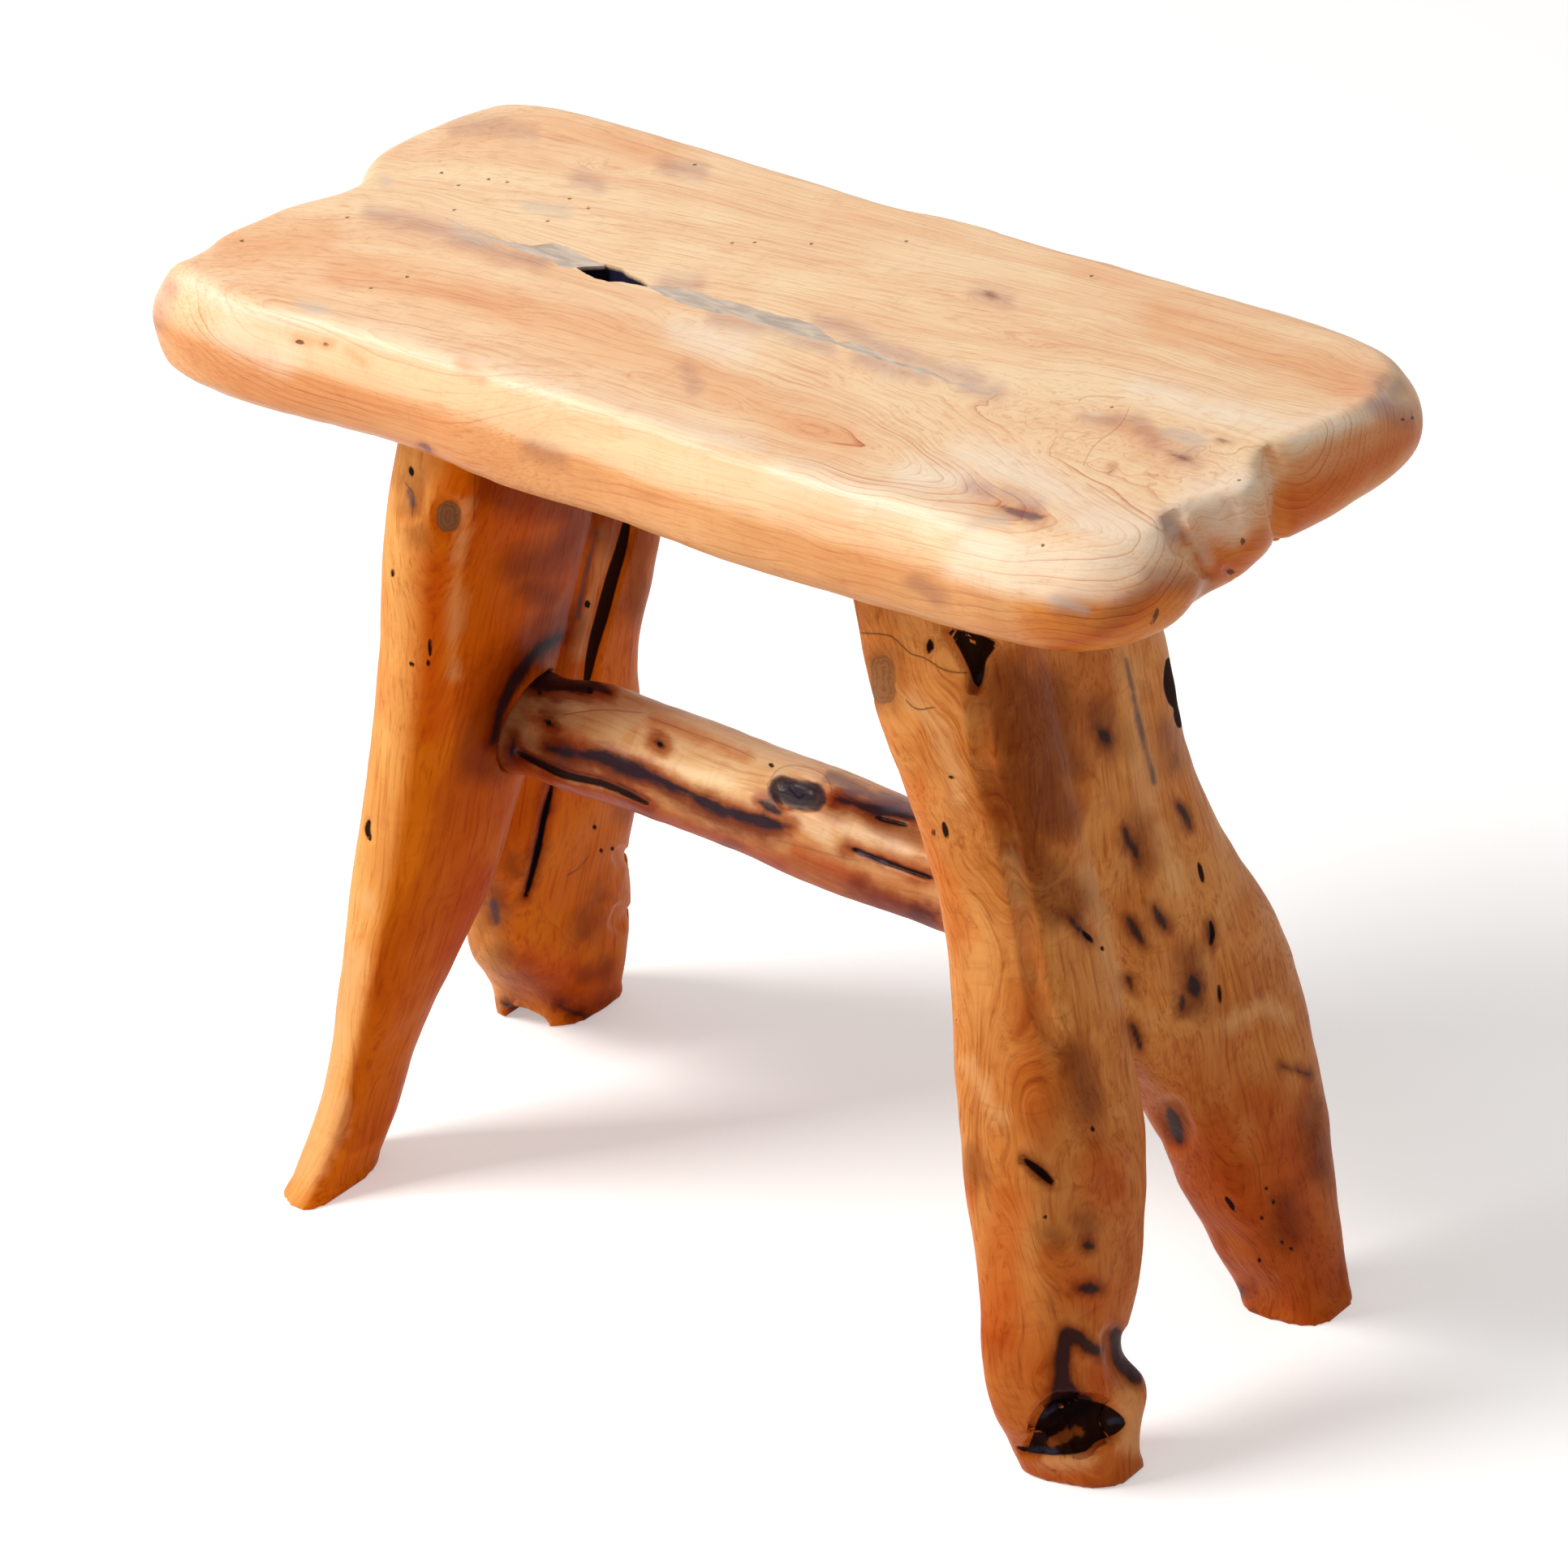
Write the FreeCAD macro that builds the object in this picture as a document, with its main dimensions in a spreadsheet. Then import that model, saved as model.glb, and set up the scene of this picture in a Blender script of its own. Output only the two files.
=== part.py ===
# A rustic log bench: a live-edge seat slab on two forked, splayed log legs, tied by a round stretcher.
# X runs along the seat, Y to its back edge, Z up; the origin is on the floor under the middle of the seat.
import FreeCAD, Part
import Sketcher
import os
from math import copysign, cos, pi, sin

from FreeCAD import Placement, Rotation, Vector

# Driving dimensions, in millimetres
SIZES = {
    "seat_length": 508.0,
    "seat_width": 244.0,
    "seat_height": 450.0,
    "seat_thickness": 50.0,
    "seat_top_inset": 11.0,
    "seat_bevel_drop": 19.0,
    "seat_bottom_inset": 15.0,
    "seat_bottom_round": 20.0,
    "crack_depth": 20.0,
    "crack_half_width": 6.5,
    "pocket_depth": 28.0,
    "left_top_reach": 120.5,
    "left_foot_reach": 215.5,
    "left_spread": 114.0,
    "left_thickness": 50.0,
    "right_top_reach": 117.5,
    "right_foot_reach": 194.5,
    "right_spread": 99.0,
    "right_thickness": 57.0,
    "toe_notch_radius": 11.0,
    "toe_notch_depth": 26.0,
    "foot_hollow_height": 33.0,
    "foot_hollow_length": 41.0,
    "foot_hollow_rise": 24.0,
    "foot_hollow_depth": 10.0,
    "stretcher_height": 220.0,
    "stretcher_offset": 8.0,
    "stretcher_diameter": 50.0,
    "stretcher_collar": 15.0,
    "socket_depth": 7.0,
    "socket_gap": 0.5,
    "tenon_diameter": 30.0,
    "tenon_length": 22.0,
    "tenon_clearance": 0.1,
    "mortise_end_gap": 1.0,
    "wedge_length": 16.0,
    "wedge_thickness": 4.0,
    "wedge_tip": 1.2,
    "wedge_width": 25.0,
    "dowel_diameter": 20.0,
    "dowel_in_seat": 32.0,
    "dowel_in_leg": 40.0,
    "dowel_chamfer": 1.5,
    "dowel_clearance": 0.1,
    "dowel_end_gap": 1.0,
    "left_front_dowel_offset": 50.0,
    "left_rear_dowel_offset": 40.0,
    "right_front_dowel_offset": 56.0,
    "right_rear_dowel_offset": 18.0,
    "overrun": 12.0,
}

doc = FreeCAD.newDocument("LogBench")
sheet = doc.addObject("Spreadsheet::Sheet", "Sizes")
for row, (alias, value) in enumerate(SIZES.items(), start=1):
    sheet.set(f"A{row}", alias)
    sheet.set(f"B{row}", str(value))
    sheet.setAlias(f"B{row}", alias)
doc.recompute()


def size(alias):
    """One driving dimension."""
    return float(getattr(sheet, alias))


# Sizes that follow from the driving ones
HALF_LENGTH = size("seat_length") / 2
HALF_WIDTH = size("seat_width") / 2
SEAT_TOP = size("seat_height")
UNDERSIDE = size("seat_height") - size("seat_thickness")
OVERRUN = size("overrun")


# Curves and solids that the natural shapes share
def smooth_loop(points):
    """One closed smooth curve through the points, evenly timed so that neighbouring loops match."""
    curve = Part.BSplineCurve()
    times = [i / len(points) for i in range(len(points) + 1)]
    curve.interpolate(Points=points, PeriodicFlag=True, Parameters=times)
    return curve


def loft(loops):
    """A closed solid through smooth loops."""
    wires = [Part.Wire(loop.toShape()) for loop in loops]
    return Part.makeLoft(wires, True, False)


def row_at(rows, level):
    """The row of a station table at any level, on a smooth curve through its neighbours."""
    ordered = sorted(rows)
    last = len(ordered) - 2
    i = max(0, min(last, sum(row[0] <= level for row in ordered) - 1))
    low, high = ordered[i], ordered[i + 1]
    before, after = ordered[max(i - 1, 0)], ordered[min(i + 2, last + 1)]
    span = high[0] - low[0]
    part = (level - low[0]) / span
    made = [level]
    for b, a0, a1, c in zip(before[1:], low[1:], high[1:], after[1:]):
        lean0 = (a1 - b) / (high[0] - before[0]) * span
        lean1 = (c - a0) / (after[0] - low[0]) * span
        made.append(
            a0 * (1 + 2 * part) * (1 - part) ** 2
            + lean0 * part * (1 - part) ** 2
            + a1 * part ** 2 * (3 - 2 * part)
            + lean1 * part ** 2 * (part - 1)
        )
    return made


def feature(name, shape):
    """A free-form solid under its own name."""
    made = doc.addObject("Part::Feature", name)
    made.Shape = shape
    made.Placement = Placement()
    return made


def drill(name, radius, depth, place, rotation=Rotation()):
    """A round cutter whose radius and depth follow the named sizes."""
    cutter = doc.addObject("Part::Cylinder", name)
    cutter.setExpression("Radius", radius)
    cutter.setExpression("Height", depth)
    cutter.Placement = Placement(place, rotation)
    return cutter


def cut_away(name, base, cutters):
    """The base less all of its cutters."""
    together = doc.addObject("Part::MultiFuse", name + "_cuts")
    together.Shapes = cutters
    made = doc.addObject("Part::Cut", name)
    made.Base = base
    made.Tool = together
    made.Label = name
    return made


# The seat slab: its live edge as shares of the half length and half width, going round from the
# front left corner, each with shares of the insets at the top arris and at the underside
SEAT_EDGE_SHARES = (
    (-0.957, -0.640, 1.25, 1.4),
    (-0.951, -0.820, 1.35, 1.0),
    (-0.915, -0.940, 1.35, 0.7),
    (-0.780, -0.990, 1.05, 0.6),
    (-0.600, -0.980, 0.90, 0.7),
    (-0.400, -0.968, 0.95, 0.8),
    (-0.200, -0.975, 1.00, 0.5),
    (0.000, -0.968, 0.85, 0.5),
    (0.200, -1.000, 0.90, 0.6),
    (0.400, -1.000, 1.00, 0.6),
    (0.600, -0.990, 1.15, 0.7),
    (0.770, -0.980, 1.35, 0.9),
    (0.890, -0.930, 1.60, 1.2),
    (0.962, -0.820, 1.50, 1.7),
    (0.992, -0.680, 1.35, 2.0),
    (0.990, -0.545, 1.55, 2.0),
    (0.975, -0.420, 1.10, 1.7),
    (0.985, -0.280, 0.60, 1.8),
    (0.980, -0.120, 0.75, 1.7),
    (0.953, 0.020, 0.90, 1.2),
    (0.970, 0.150, 1.05, 1.5),
    (0.990, 0.330, 0.95, 1.8),
    (0.999, 0.520, 0.95, 2.2),
    (0.985, 0.720, 1.20, 2.0),
    (0.920, 0.890, 1.30, 1.2),
    (0.800, 0.960, 1.10, 0.9),
    (0.600, 0.972, 0.90, 0.8),
    (0.400, 0.972, 0.85, 0.8),
    (0.200, 0.975, 0.85, 0.7),
    (0.050, 0.980, 0.80, 0.7),
    (-0.080, 0.955, 0.85, 0.7),
    (-0.220, 0.972, 0.85, 0.7),
    (-0.420, 0.985, 0.85, 0.8),
    (-0.620, 1.005, 0.90, 0.9),
    (-0.790, 1.010, 1.05, 1.0),
    (-0.900, 0.945, 1.15, 1.2),
    (-0.945, 0.800, 1.05, 1.3),
    (-0.958, 0.600, 0.95, 1.2),
    (-0.965, 0.370, 0.90, 1.0),
    (-0.945, 0.165, 0.90, 0.8),
    (-0.905, 0.030, 0.90, 0.6),
    (-0.910, -0.090, 0.90, 0.8),
    (-0.940, -0.250, 0.95, 1.1),
    (-0.953, -0.430, 1.05, 1.3),
)
# Up the edge: the height as a share of the rounding, and how much of the inset is left there
BOTTOM_ROUND_SHARES = ((0.0, 1.0), (0.22, 0.55), (0.62, 0.18), (1.0, 0.03))
TOP_BEVEL_SHARES = ((1.0, 0.0), (0.72, 0.13), (0.32, 0.45), (0.0, 1.0))
MOST_ROUNDED_SHARE = 0.9
EDGE_SAMPLES = 720


def seat_edge_points():
    """The slab's widest outline, brought to exactly the seat's length and width."""
    rough = [Vector(x * HALF_LENGTH, y * HALF_WIDTH, 0) for x, y, top, low in SEAT_EDGE_SHARES]
    along = smooth_loop(rough).toShape().discretize(Number=EDGE_SAMPLES)
    low_x, high_x = min(p.x for p in along), max(p.x for p in along)
    low_y, high_y = min(p.y for p in along), max(p.y for p in along)
    grow_x = size("seat_length") / (high_x - low_x)
    grow_y = size("seat_width") / (high_y - low_y)
    return [
        Vector((p.x - low_x) * grow_x - HALF_LENGTH, (p.y - low_y) * grow_y - HALF_WIDTH, 0)
        for p in rough
    ]


def seat_loop(edge, height, inset, column):
    """The slab's outline at one height, drawn in from the widest by the inset there."""
    points = []
    for i, point in enumerate(edge):
        along = (edge[(i + 1) % len(edge)] - edge[i - 1]).normalize()
        inwards = Vector(-along.y, along.x, 0)
        drawn_in = inset * SEAT_EDGE_SHARES[i][column]
        points.append(point + inwards * drawn_in + Vector(0, 0, height))
    return smooth_loop(points)


def seat_blank():
    """The slab before it is bored: flat faces above and below and a rounded live edge."""
    edge = seat_edge_points()
    low, high = size("seat_bottom_round"), size("seat_bevel_drop")
    fit = min(1, size("seat_thickness") * MOST_ROUNDED_SHARE / (low + high))
    loops = [
        seat_loop(edge, UNDERSIDE + low * fit * up, size("seat_bottom_inset") * part, 3)
        for up, part in BOTTOM_ROUND_SHARES
    ]
    loops += [
        seat_loop(edge, SEAT_TOP - high * fit * down, size("seat_top_inset") * part, 2)
        for down, part in TOP_BEVEL_SHARES
    ]
    return loft(loops)


# The drying crack along the heart of the slab: shares of the half length and half width along its
# middle line, and of the crack's half width to either side
LEFT_RESIN_SHARES = (
    (-0.629, -0.115, 0.15),
    (-0.555, -0.131, 0.50),
    (-0.484, -0.125, 1.00),
    (-0.445, -0.095, 1.50),
    (-0.405, -0.095, 1.00),
    (-0.375, -0.105, 0.80),
)
POCKET_SHARES = (
    (-0.375, -0.105, 0.80),
    (-0.345, -0.095, 0.75),
    (-0.304, -0.092, 0.80),
    (-0.262, -0.098, 0.72),
    (-0.226, -0.105, 0.50),
)
RIGHT_RESIN_SHARES = (
    (-0.226, -0.105, 0.50),
    (-0.180, -0.105, 0.85),
    (-0.139, -0.107, 1.00),
    (-0.057, -0.107, 0.90),
    (0.029, -0.115, 0.90),
    (0.124, -0.107, 0.95),
    (0.241, -0.123, 0.75),
    (0.359, -0.139, 0.45),
    (0.476, -0.115, 0.15),
)


def crack_block(rows, depth):
    """The part of the crack between the rows, from its floor up to the slab's top face."""
    middle = [Vector(x * HALF_LENGTH, y * HALF_WIDTH, SEAT_TOP - depth) for x, y, part in rows]
    reach = [Vector(0, size("crack_half_width") * part, 0) for x, y, part in rows]
    front, back = Part.BSplineCurve(), Part.BSplineCurve()
    front.interpolate([m - r for m, r in zip(middle, reach)])
    back.interpolate([m + r for m, r in zip(middle, reach)])
    ends = [
        Part.LineSegment(front.StartPoint, back.StartPoint),
        Part.LineSegment(front.EndPoint, back.EndPoint),
    ]
    outline = Part.Wire(Part.__sortEdges__([c.toShape() for c in (front, back, *ends)]))
    return Part.Face(outline).extrude(Vector(0, 0, depth))


# The forked legs. Each fork is a column through stations from above the underside of the seat to
# below the floor. A station row holds the height as a share of the leg's, the front and rear faces
# as shares of the spread, the thickness as a share of the leg's, the shift of the middle towards the
# bench's end as a share of the thickness, and the skew of the section from the outer to the inner side
LEFT_FRONT_FORK_SHARES = (
    (1.035, -0.740, 0.235, 1.04, 0.00, 0.00),
    (0.880, -0.800, 0.235, 1.00, 0.00, 0.00),
    (0.730, -0.750, 0.210, 0.94, 0.00, 0.00),
    (0.580, -0.735, 0.140, 0.90, 0.00, 0.05),
    (0.450, -0.755, 0.040, 0.88, -0.02, 0.12),
    (0.345, -0.775, -0.030, 0.84, -0.02, 0.22),
    (0.250, -0.770, -0.185, 0.76, 0.00, 0.34),
    (0.150, -0.780, -0.320, 0.66, 0.02, 0.40),
    (0.060, -0.870, -0.410, 0.60, 0.01, 0.36),
    (-0.030, -1.050, -0.550, 0.56, -0.03, 0.30),
)
LEFT_REAR_FORK_SHARES = (
    (1.035, 0.100, 0.740, 0.86, 0.10, 0.00),
    (0.760, 0.100, 0.770, 0.82, 0.10, 0.00),
    (0.620, 0.060, 0.760, 0.80, 0.10, 0.00),
    (0.540, 0.020, 0.745, 0.80, 0.10, 0.00),
    (0.470, -0.030, 0.800, 0.84, 0.10, 0.00),
    (0.370, -0.080, 0.910, 0.86, 0.12, 0.00),
    (0.285, 0.030, 0.930, 0.86, 0.16, -0.05),
    (0.230, 0.130, 0.930, 0.86, 0.19, -0.10),
    (0.170, 0.200, 0.990, 0.88, 0.22, -0.15),
    (0.110, 0.340, 1.020, 0.90, 0.25, -0.20),
    (0.050, 0.500, 1.030, 0.92, 0.27, -0.24),
    (-0.030, 0.630, 1.020, 0.92, 0.28, -0.26),
)
RIGHT_FRONT_FORK_SHARES = (
    (1.035, -0.790, -0.320, 1.08, 0.00, 0.20),
    (0.870, -0.820, -0.300, 1.12, 0.00, 0.20),
    (0.760, -0.785, -0.240, 1.04, 0.00, 0.18),
    (0.670, -0.745, -0.200, 0.98, 0.00, 0.15),
    (0.565, -0.755, -0.160, 0.94, 0.00, 0.15),
    (0.455, -0.850, -0.140, 0.94, 0.00, 0.18),
    (0.345, -0.950, -0.130, 0.92, 0.00, 0.20),
    (0.255, -0.975, -0.220, 0.86, 0.00, 0.22),
    (0.185, -1.030, -0.330, 0.80, 0.00, 0.28),
    (0.138, -1.060, -0.490, 0.74, 0.00, 0.34),
    (0.085, -1.020, -0.470, 0.80, 0.00, 0.40),
    (0.035, -0.930, -0.520, 0.79, -0.02, 0.34),
    (-0.030, -0.810, -0.650, 0.72, -0.07, 0.24),
)
RIGHT_REAR_FORK_SHARES = (
    (1.035, -0.560, 0.540, 1.00, 0.04, 0.00),
    (0.830, -0.560, 0.560, 1.00, 0.04, 0.00),
    (0.730, -0.530, 0.590, 0.96, 0.03, 0.00),
    (0.655, -0.480, 0.645, 0.92, 0.02, 0.00),
    (0.590, -0.410, 0.735, 0.90, 0.02, 0.00),
    (0.520, -0.330, 0.870, 0.88, 0.02, 0.00),
    (0.430, -0.200, 1.050, 0.86, 0.02, 0.00),
    (0.355, 0.030, 1.110, 0.86, 0.00, 0.05),
    (0.260, 0.230, 1.110, 0.86, 0.00, 0.08),
    (0.180, 0.350, 1.100, 0.84, 0.00, 0.10),
    (0.100, 0.480, 1.065, 0.80, 0.00, 0.12),
    (0.040, 0.590, 1.040, 0.76, 0.00, 0.15),
    (-0.030, 0.680, 0.990, 0.72, 0.05, 0.15),
)
FORK_STATIONS = 24
SECTION_POINTS = 16
SECTION_SQUARENESS = 2.9

# Each leg: which end it stands at, the names of its sizes and its two forks
LEGS = {
    "left_leg": {
        "end": -1,
        "side": "left",
        "forks": (LEFT_FRONT_FORK_SHARES, LEFT_REAR_FORK_SHARES),
    },
    "right_leg": {
        "end": 1,
        "side": "right",
        "forks": (RIGHT_FRONT_FORK_SHARES, RIGHT_REAR_FORK_SHARES),
    },
}


def leg_middle(leg, height):
    """How far out the middle of a splayed leg stands at a height."""
    top, foot = size(leg["side"] + "_top_reach"), size(leg["side"] + "_foot_reach")
    return leg["end"] * (foot + (top - foot) * height / UNDERSIDE)


def section(leg, row):
    """The middle, half thickness, half depth and skew of a fork at one station."""
    share, front, rear, thick, shift, skew = row
    spread, thickness = size(leg["side"] + "_spread"), size(leg["side"] + "_thickness")
    height = UNDERSIDE * share
    out = leg_middle(leg, height) + leg["end"] * thickness * shift
    middle = Vector(out, spread * (front + rear) / 2, height)
    return middle, thickness * thick / 2, spread * (rear - front) / 2, skew


def section_loop(leg, row):
    """One rounded, slightly square section of a fork."""
    middle, half_thick, half_deep, skew = section(leg, row)
    points = []
    for step in range(SECTION_POINTS):
        turn = 2 * pi * step / SECTION_POINTS
        power = 2 / SECTION_SQUARENESS
        across = copysign(abs(cos(turn)) ** power, cos(turn)) * half_thick
        along = copysign(abs(sin(turn)) ** power, sin(turn)) * half_deep
        lean = leg["end"] * across * skew
        points.append(middle + Vector(across, along + lean, 0))
    return smooth_loop(points)


def inner_face(leg, offset, height):
    """Where the leg's inner face stands at a height, beside the given offset to the front."""
    share = height / UNDERSIDE
    reaches = []
    for fork in leg["forks"]:
        middle, half_thick, half_deep, skew = section(leg, row_at(fork, share))
        if abs(-offset - middle.y) <= half_deep:
            reaches.append(abs(middle.x) - half_thick)
    return leg["end"] * min(reaches)


def leg_blank(name, leg):
    """The two forks grown into one, cut flat at the floor and at the underside of the seat."""
    forks = []
    for i, fork in enumerate(leg["forks"]):
        low, high = fork[-1][0], fork[0][0]
        levels = [low + (high - low) * step / (FORK_STATIONS - 1) for step in range(FORK_STATIONS)]
        loops = [section_loop(leg, row_at(fork, level)) for level in levels]
        forks.append(feature(f"{name}_fork_{i}", loft(loops)))
    grown = doc.addObject("Part::MultiFuse", name + "_grown")
    grown.Shapes = forks
    room = doc.addObject("Part::Box", name + "_room")
    room.setExpression("Length", "Sizes.seat_length")
    room.setExpression("Width", "Sizes.seat_width * 2")
    room.setExpression("Height", "Sizes.seat_height - Sizes.seat_thickness")
    low_x = 0 if leg["end"] > 0 else -size("seat_length")
    room.Placement = Placement(Vector(low_x, -size("seat_width"), 0), Rotation())
    trimmed = doc.addObject("Part::MultiCommon", name + "_trimmed")
    trimmed.Shapes = [grown, room]
    return trimmed


# Loose dowels stand upright half in the leg and half in the seat
DOWELS = {
    "left_front_dowel": ("left_leg", -1),
    "left_rear_dowel": ("left_leg", 1),
    "right_front_dowel": ("right_leg", -1),
    "right_rear_dowel": ("right_leg", 1),
}


def dowel_place(name):
    """The bottom of a dowel, in the middle of the leg's thickness half way down its hole."""
    leg_name, way = DOWELS[name]
    half_way = UNDERSIDE - size("dowel_in_leg") / 2
    out = leg_middle(LEGS[leg_name], half_way)
    return Vector(out, way * size(name + "_offset"), UNDERSIDE - size("dowel_in_leg"))


def dowel(name):
    """A chamfered hardwood dowel."""
    body = doc.addObject("PartDesign::Body", name)
    body.Label = name
    circle = body.newObject("Sketcher::SketchObject", name + "_circle")
    plane = [f for f in body.Origin.OriginFeatures if f.Role == "XY_Plane"][0]
    circle.AttachmentSupport = [(plane, "")]
    circle.MapMode = "FlatFace"
    circle.addGeometry(Part.Circle(Vector(), Vector(0, 0, 1), size("dowel_diameter") / 2))
    circle.addConstraint(Sketcher.Constraint("Coincident", 0, 3, -1, 1))
    circle.addConstraint(Sketcher.Constraint("Diameter", 0, size("dowel_diameter")))
    circle.setExpression("Constraints[1]", "Sizes.dowel_diameter")
    rod = body.newObject("PartDesign::Pad", name + "_rod")
    rod.Profile = circle
    rod.setExpression("Length", "Sizes.dowel_in_leg + Sizes.dowel_in_seat")
    doc.recompute()
    edges = enumerate(rod.Shape.Edges, start=1)
    ends = [f"Edge{i}" for i, edge in edges if edge.Curve.TypeId == "Part::GeomCircle"]
    bevel = body.newObject("PartDesign::Chamfer", name + "_bevel")
    bevel.Base = (rod, ends)
    bevel.setExpression("Size", "Sizes.dowel_chamfer")
    body.Tip = bevel
    body.Placement = Placement(dowel_place(name), Rotation())
    return body


def dowel_hole(name, place, below, above):
    """A hole for a dowel that runs the given depths below and above its bottom end."""
    return drill(
        name,
        "Sizes.dowel_diameter / 2 + Sizes.dowel_clearance",
        f"{below} + {above}",
        place,
    )


# The stretcher: stations along the pole between its shoulders, with the radius, the sideways and
# the upward drift of its middle, all as shares of the pole's radius
POLE_SHARES = (
    (0.060, 1.00, 0.00, 0.04),
    (0.180, 0.99, 0.01, 0.08),
    (0.320, 0.98, 0.03, 0.06),
    (0.460, 0.97, 0.02, 0.03),
    (0.600, 1.00, -0.03, 0.02),
    (0.700, 0.98, -0.02, -0.02),
    (0.840, 0.95, 0.00, -0.06),
    (0.940, 0.94, 0.00, -0.08),
)
COLLAR_SHARE = 0.94
COLLAR_STATION_SHARES = (0.0, 0.5, 1.0)
POLE_POINTS = 12
POLE_LOBE_SHARE = 0.022
POLE_AXIS = Vector(0, -size("stretcher_offset"), size("stretcher_height"))
SHOULDERS = {
    name: inner_face(leg, size("stretcher_offset"), size("stretcher_height"))
    + leg["end"] * size("socket_depth")
    for name, leg in LEGS.items()
}


def pole_loop(out, radius, drift, rise, lobe_share):
    """A nearly round section of the pole, with the shallow lobes of a peeled branch."""
    points = []
    for step in range(POLE_POINTS):
        turn = 2 * pi * step / POLE_POINTS
        reach = radius * (1 + lobe_share * sin(3 * turn + out / size("stretcher_diameter")))
        points.append(POLE_AXIS + Vector(out, drift + reach * cos(turn), rise + reach * sin(turn)))
    return smooth_loop(points)


def pole():
    """The peeled pole between its two shoulders, shaved to a round collar at each end."""
    start, end = SHOULDERS["left_leg"], SHOULDERS["right_leg"]
    radius, collar = size("stretcher_diameter") / 2, size("stretcher_collar")
    loops = []
    for share in COLLAR_STATION_SHARES:
        loops.append(pole_loop(start + collar * share, radius * COLLAR_SHARE, 0, 0, 0))
    for share, part, drift, rise in POLE_SHARES:
        out = start + collar + (end - start - 2 * collar) * share
        loops.append(pole_loop(out, radius * part, radius * drift, radius * rise, POLE_LOBE_SHARE))
    for share in reversed(COLLAR_STATION_SHARES):
        loops.append(pole_loop(end - collar * share, radius * COLLAR_SHARE, 0, 0, 0))
    return loft(loops)


def wedge_profile(name, leg):
    """The taper of a fox wedge, thin end towards the bench's middle, seen from the front."""
    length = size("wedge_length") + size("mortise_end_gap")
    thick, thin = size("wedge_thickness") / 2, size("wedge_tip") / 2
    far = SHOULDERS[name] + leg["end"] * (size("tenon_length") + size("mortise_end_gap"))
    near = far - leg["end"] * length
    corners = [(near, -thin), (far, -thick), (far, thick), (near, thin)]
    return [Vector(x, 0, z) for x, z in corners]


def wedge_block(name, leg, width):
    """The wedge's taper drawn out to a width about the stretcher's axis."""
    corners = [POLE_AXIS + p - Vector(0, width / 2, 0) for p in wedge_profile(name, leg)]
    return Part.Face(Part.makePolygon(corners + corners[:1])).extrude(Vector(0, width, 0))


def tenon_rotation(leg):
    """Turns a cylinder's axis to point out towards the bench's end."""
    return Rotation(Vector(0, 0, 1), Vector(leg["end"], 0, 0))


def build_stretcher():
    """The pole with a turned tenon at each end, each sawn for its fox wedge."""
    solids = [feature("pole", pole())]
    kerfs = []
    for name, leg in LEGS.items():
        root = POLE_AXIS + Vector(SHOULDERS[name], 0, 0) - Vector(leg["end"] * OVERRUN, 0, 0)
        solids.append(
            drill(
                name + "_tenon",
                "Sizes.tenon_diameter / 2",
                "Sizes.tenon_length + Sizes.overrun",
                root,
                tenon_rotation(leg),
            )
        )
        kerfs.append(feature(name + "_kerf", wedge_block(name, leg, size("tenon_diameter") + OVERRUN)))
    whole = doc.addObject("Part::MultiFuse", "stretcher_whole")
    whole.Shapes = solids
    return cut_away("stretcher", whole, kerfs)


def leg_cuts(name, leg):
    """The dowel holes in a leg's top and the stretcher's socket and mortise in its inner face."""
    cuts = []
    for dowel_name, (owner, way) in DOWELS.items():
        if owner == name:
            place = dowel_place(dowel_name) - Vector(0, 0, size("dowel_end_gap"))
            depth = "Sizes.dowel_in_leg + Sizes.dowel_end_gap"
            cuts.append(dowel_hole(dowel_name + "_leg_hole", place, depth, "Sizes.overrun"))
    outwards = Vector(leg["end"], 0, 0)
    shoulder = POLE_AXIS + Vector(SHOULDERS[name], 0, 0)
    cuts.append(
        drill(
            name + "_socket",
            f"Sizes.stretcher_diameter / 2 * {COLLAR_SHARE} + Sizes.socket_gap",
            "Sizes.overrun * 2",
            shoulder - outwards * OVERRUN * 2,
            tenon_rotation(leg),
        )
    )
    cuts.append(
        drill(
            name + "_mortise",
            "Sizes.tenon_diameter / 2 + Sizes.tenon_clearance",
            "Sizes.overrun + Sizes.tenon_length + Sizes.mortise_end_gap",
            shoulder - outwards * OVERRUN,
            tenon_rotation(leg),
        )
    )
    return cuts


def toe_notch():
    """The hollow that parts the two toes of the left rear foot, cut in from its front."""
    leg = LEGS["left_leg"]
    middle, half_thick, half_deep, skew = section(leg, row_at(leg["forks"][1], 0.0))
    place = Vector(middle.x, middle.y - half_deep - OVERRUN, 0)
    return drill(
        "toe_notch",
        "Sizes.toe_notch_radius",
        "Sizes.toe_notch_depth + Sizes.overrun",
        place,
        Rotation(Vector(0, 0, 1), Vector(0, 1, 0)),
    )


# Where the hollow opens on the right front foot, out from the foot's middle and to its rear, as
# shares of its half thickness and half depth, and how the hollow is turned and tilted, in degrees
FOOT_HOLLOW_PLACE_SHARES = (0.67, -0.60)
FOOT_HOLLOW_TURN = 51.0
FOOT_HOLLOW_TILT = -8.0


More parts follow.
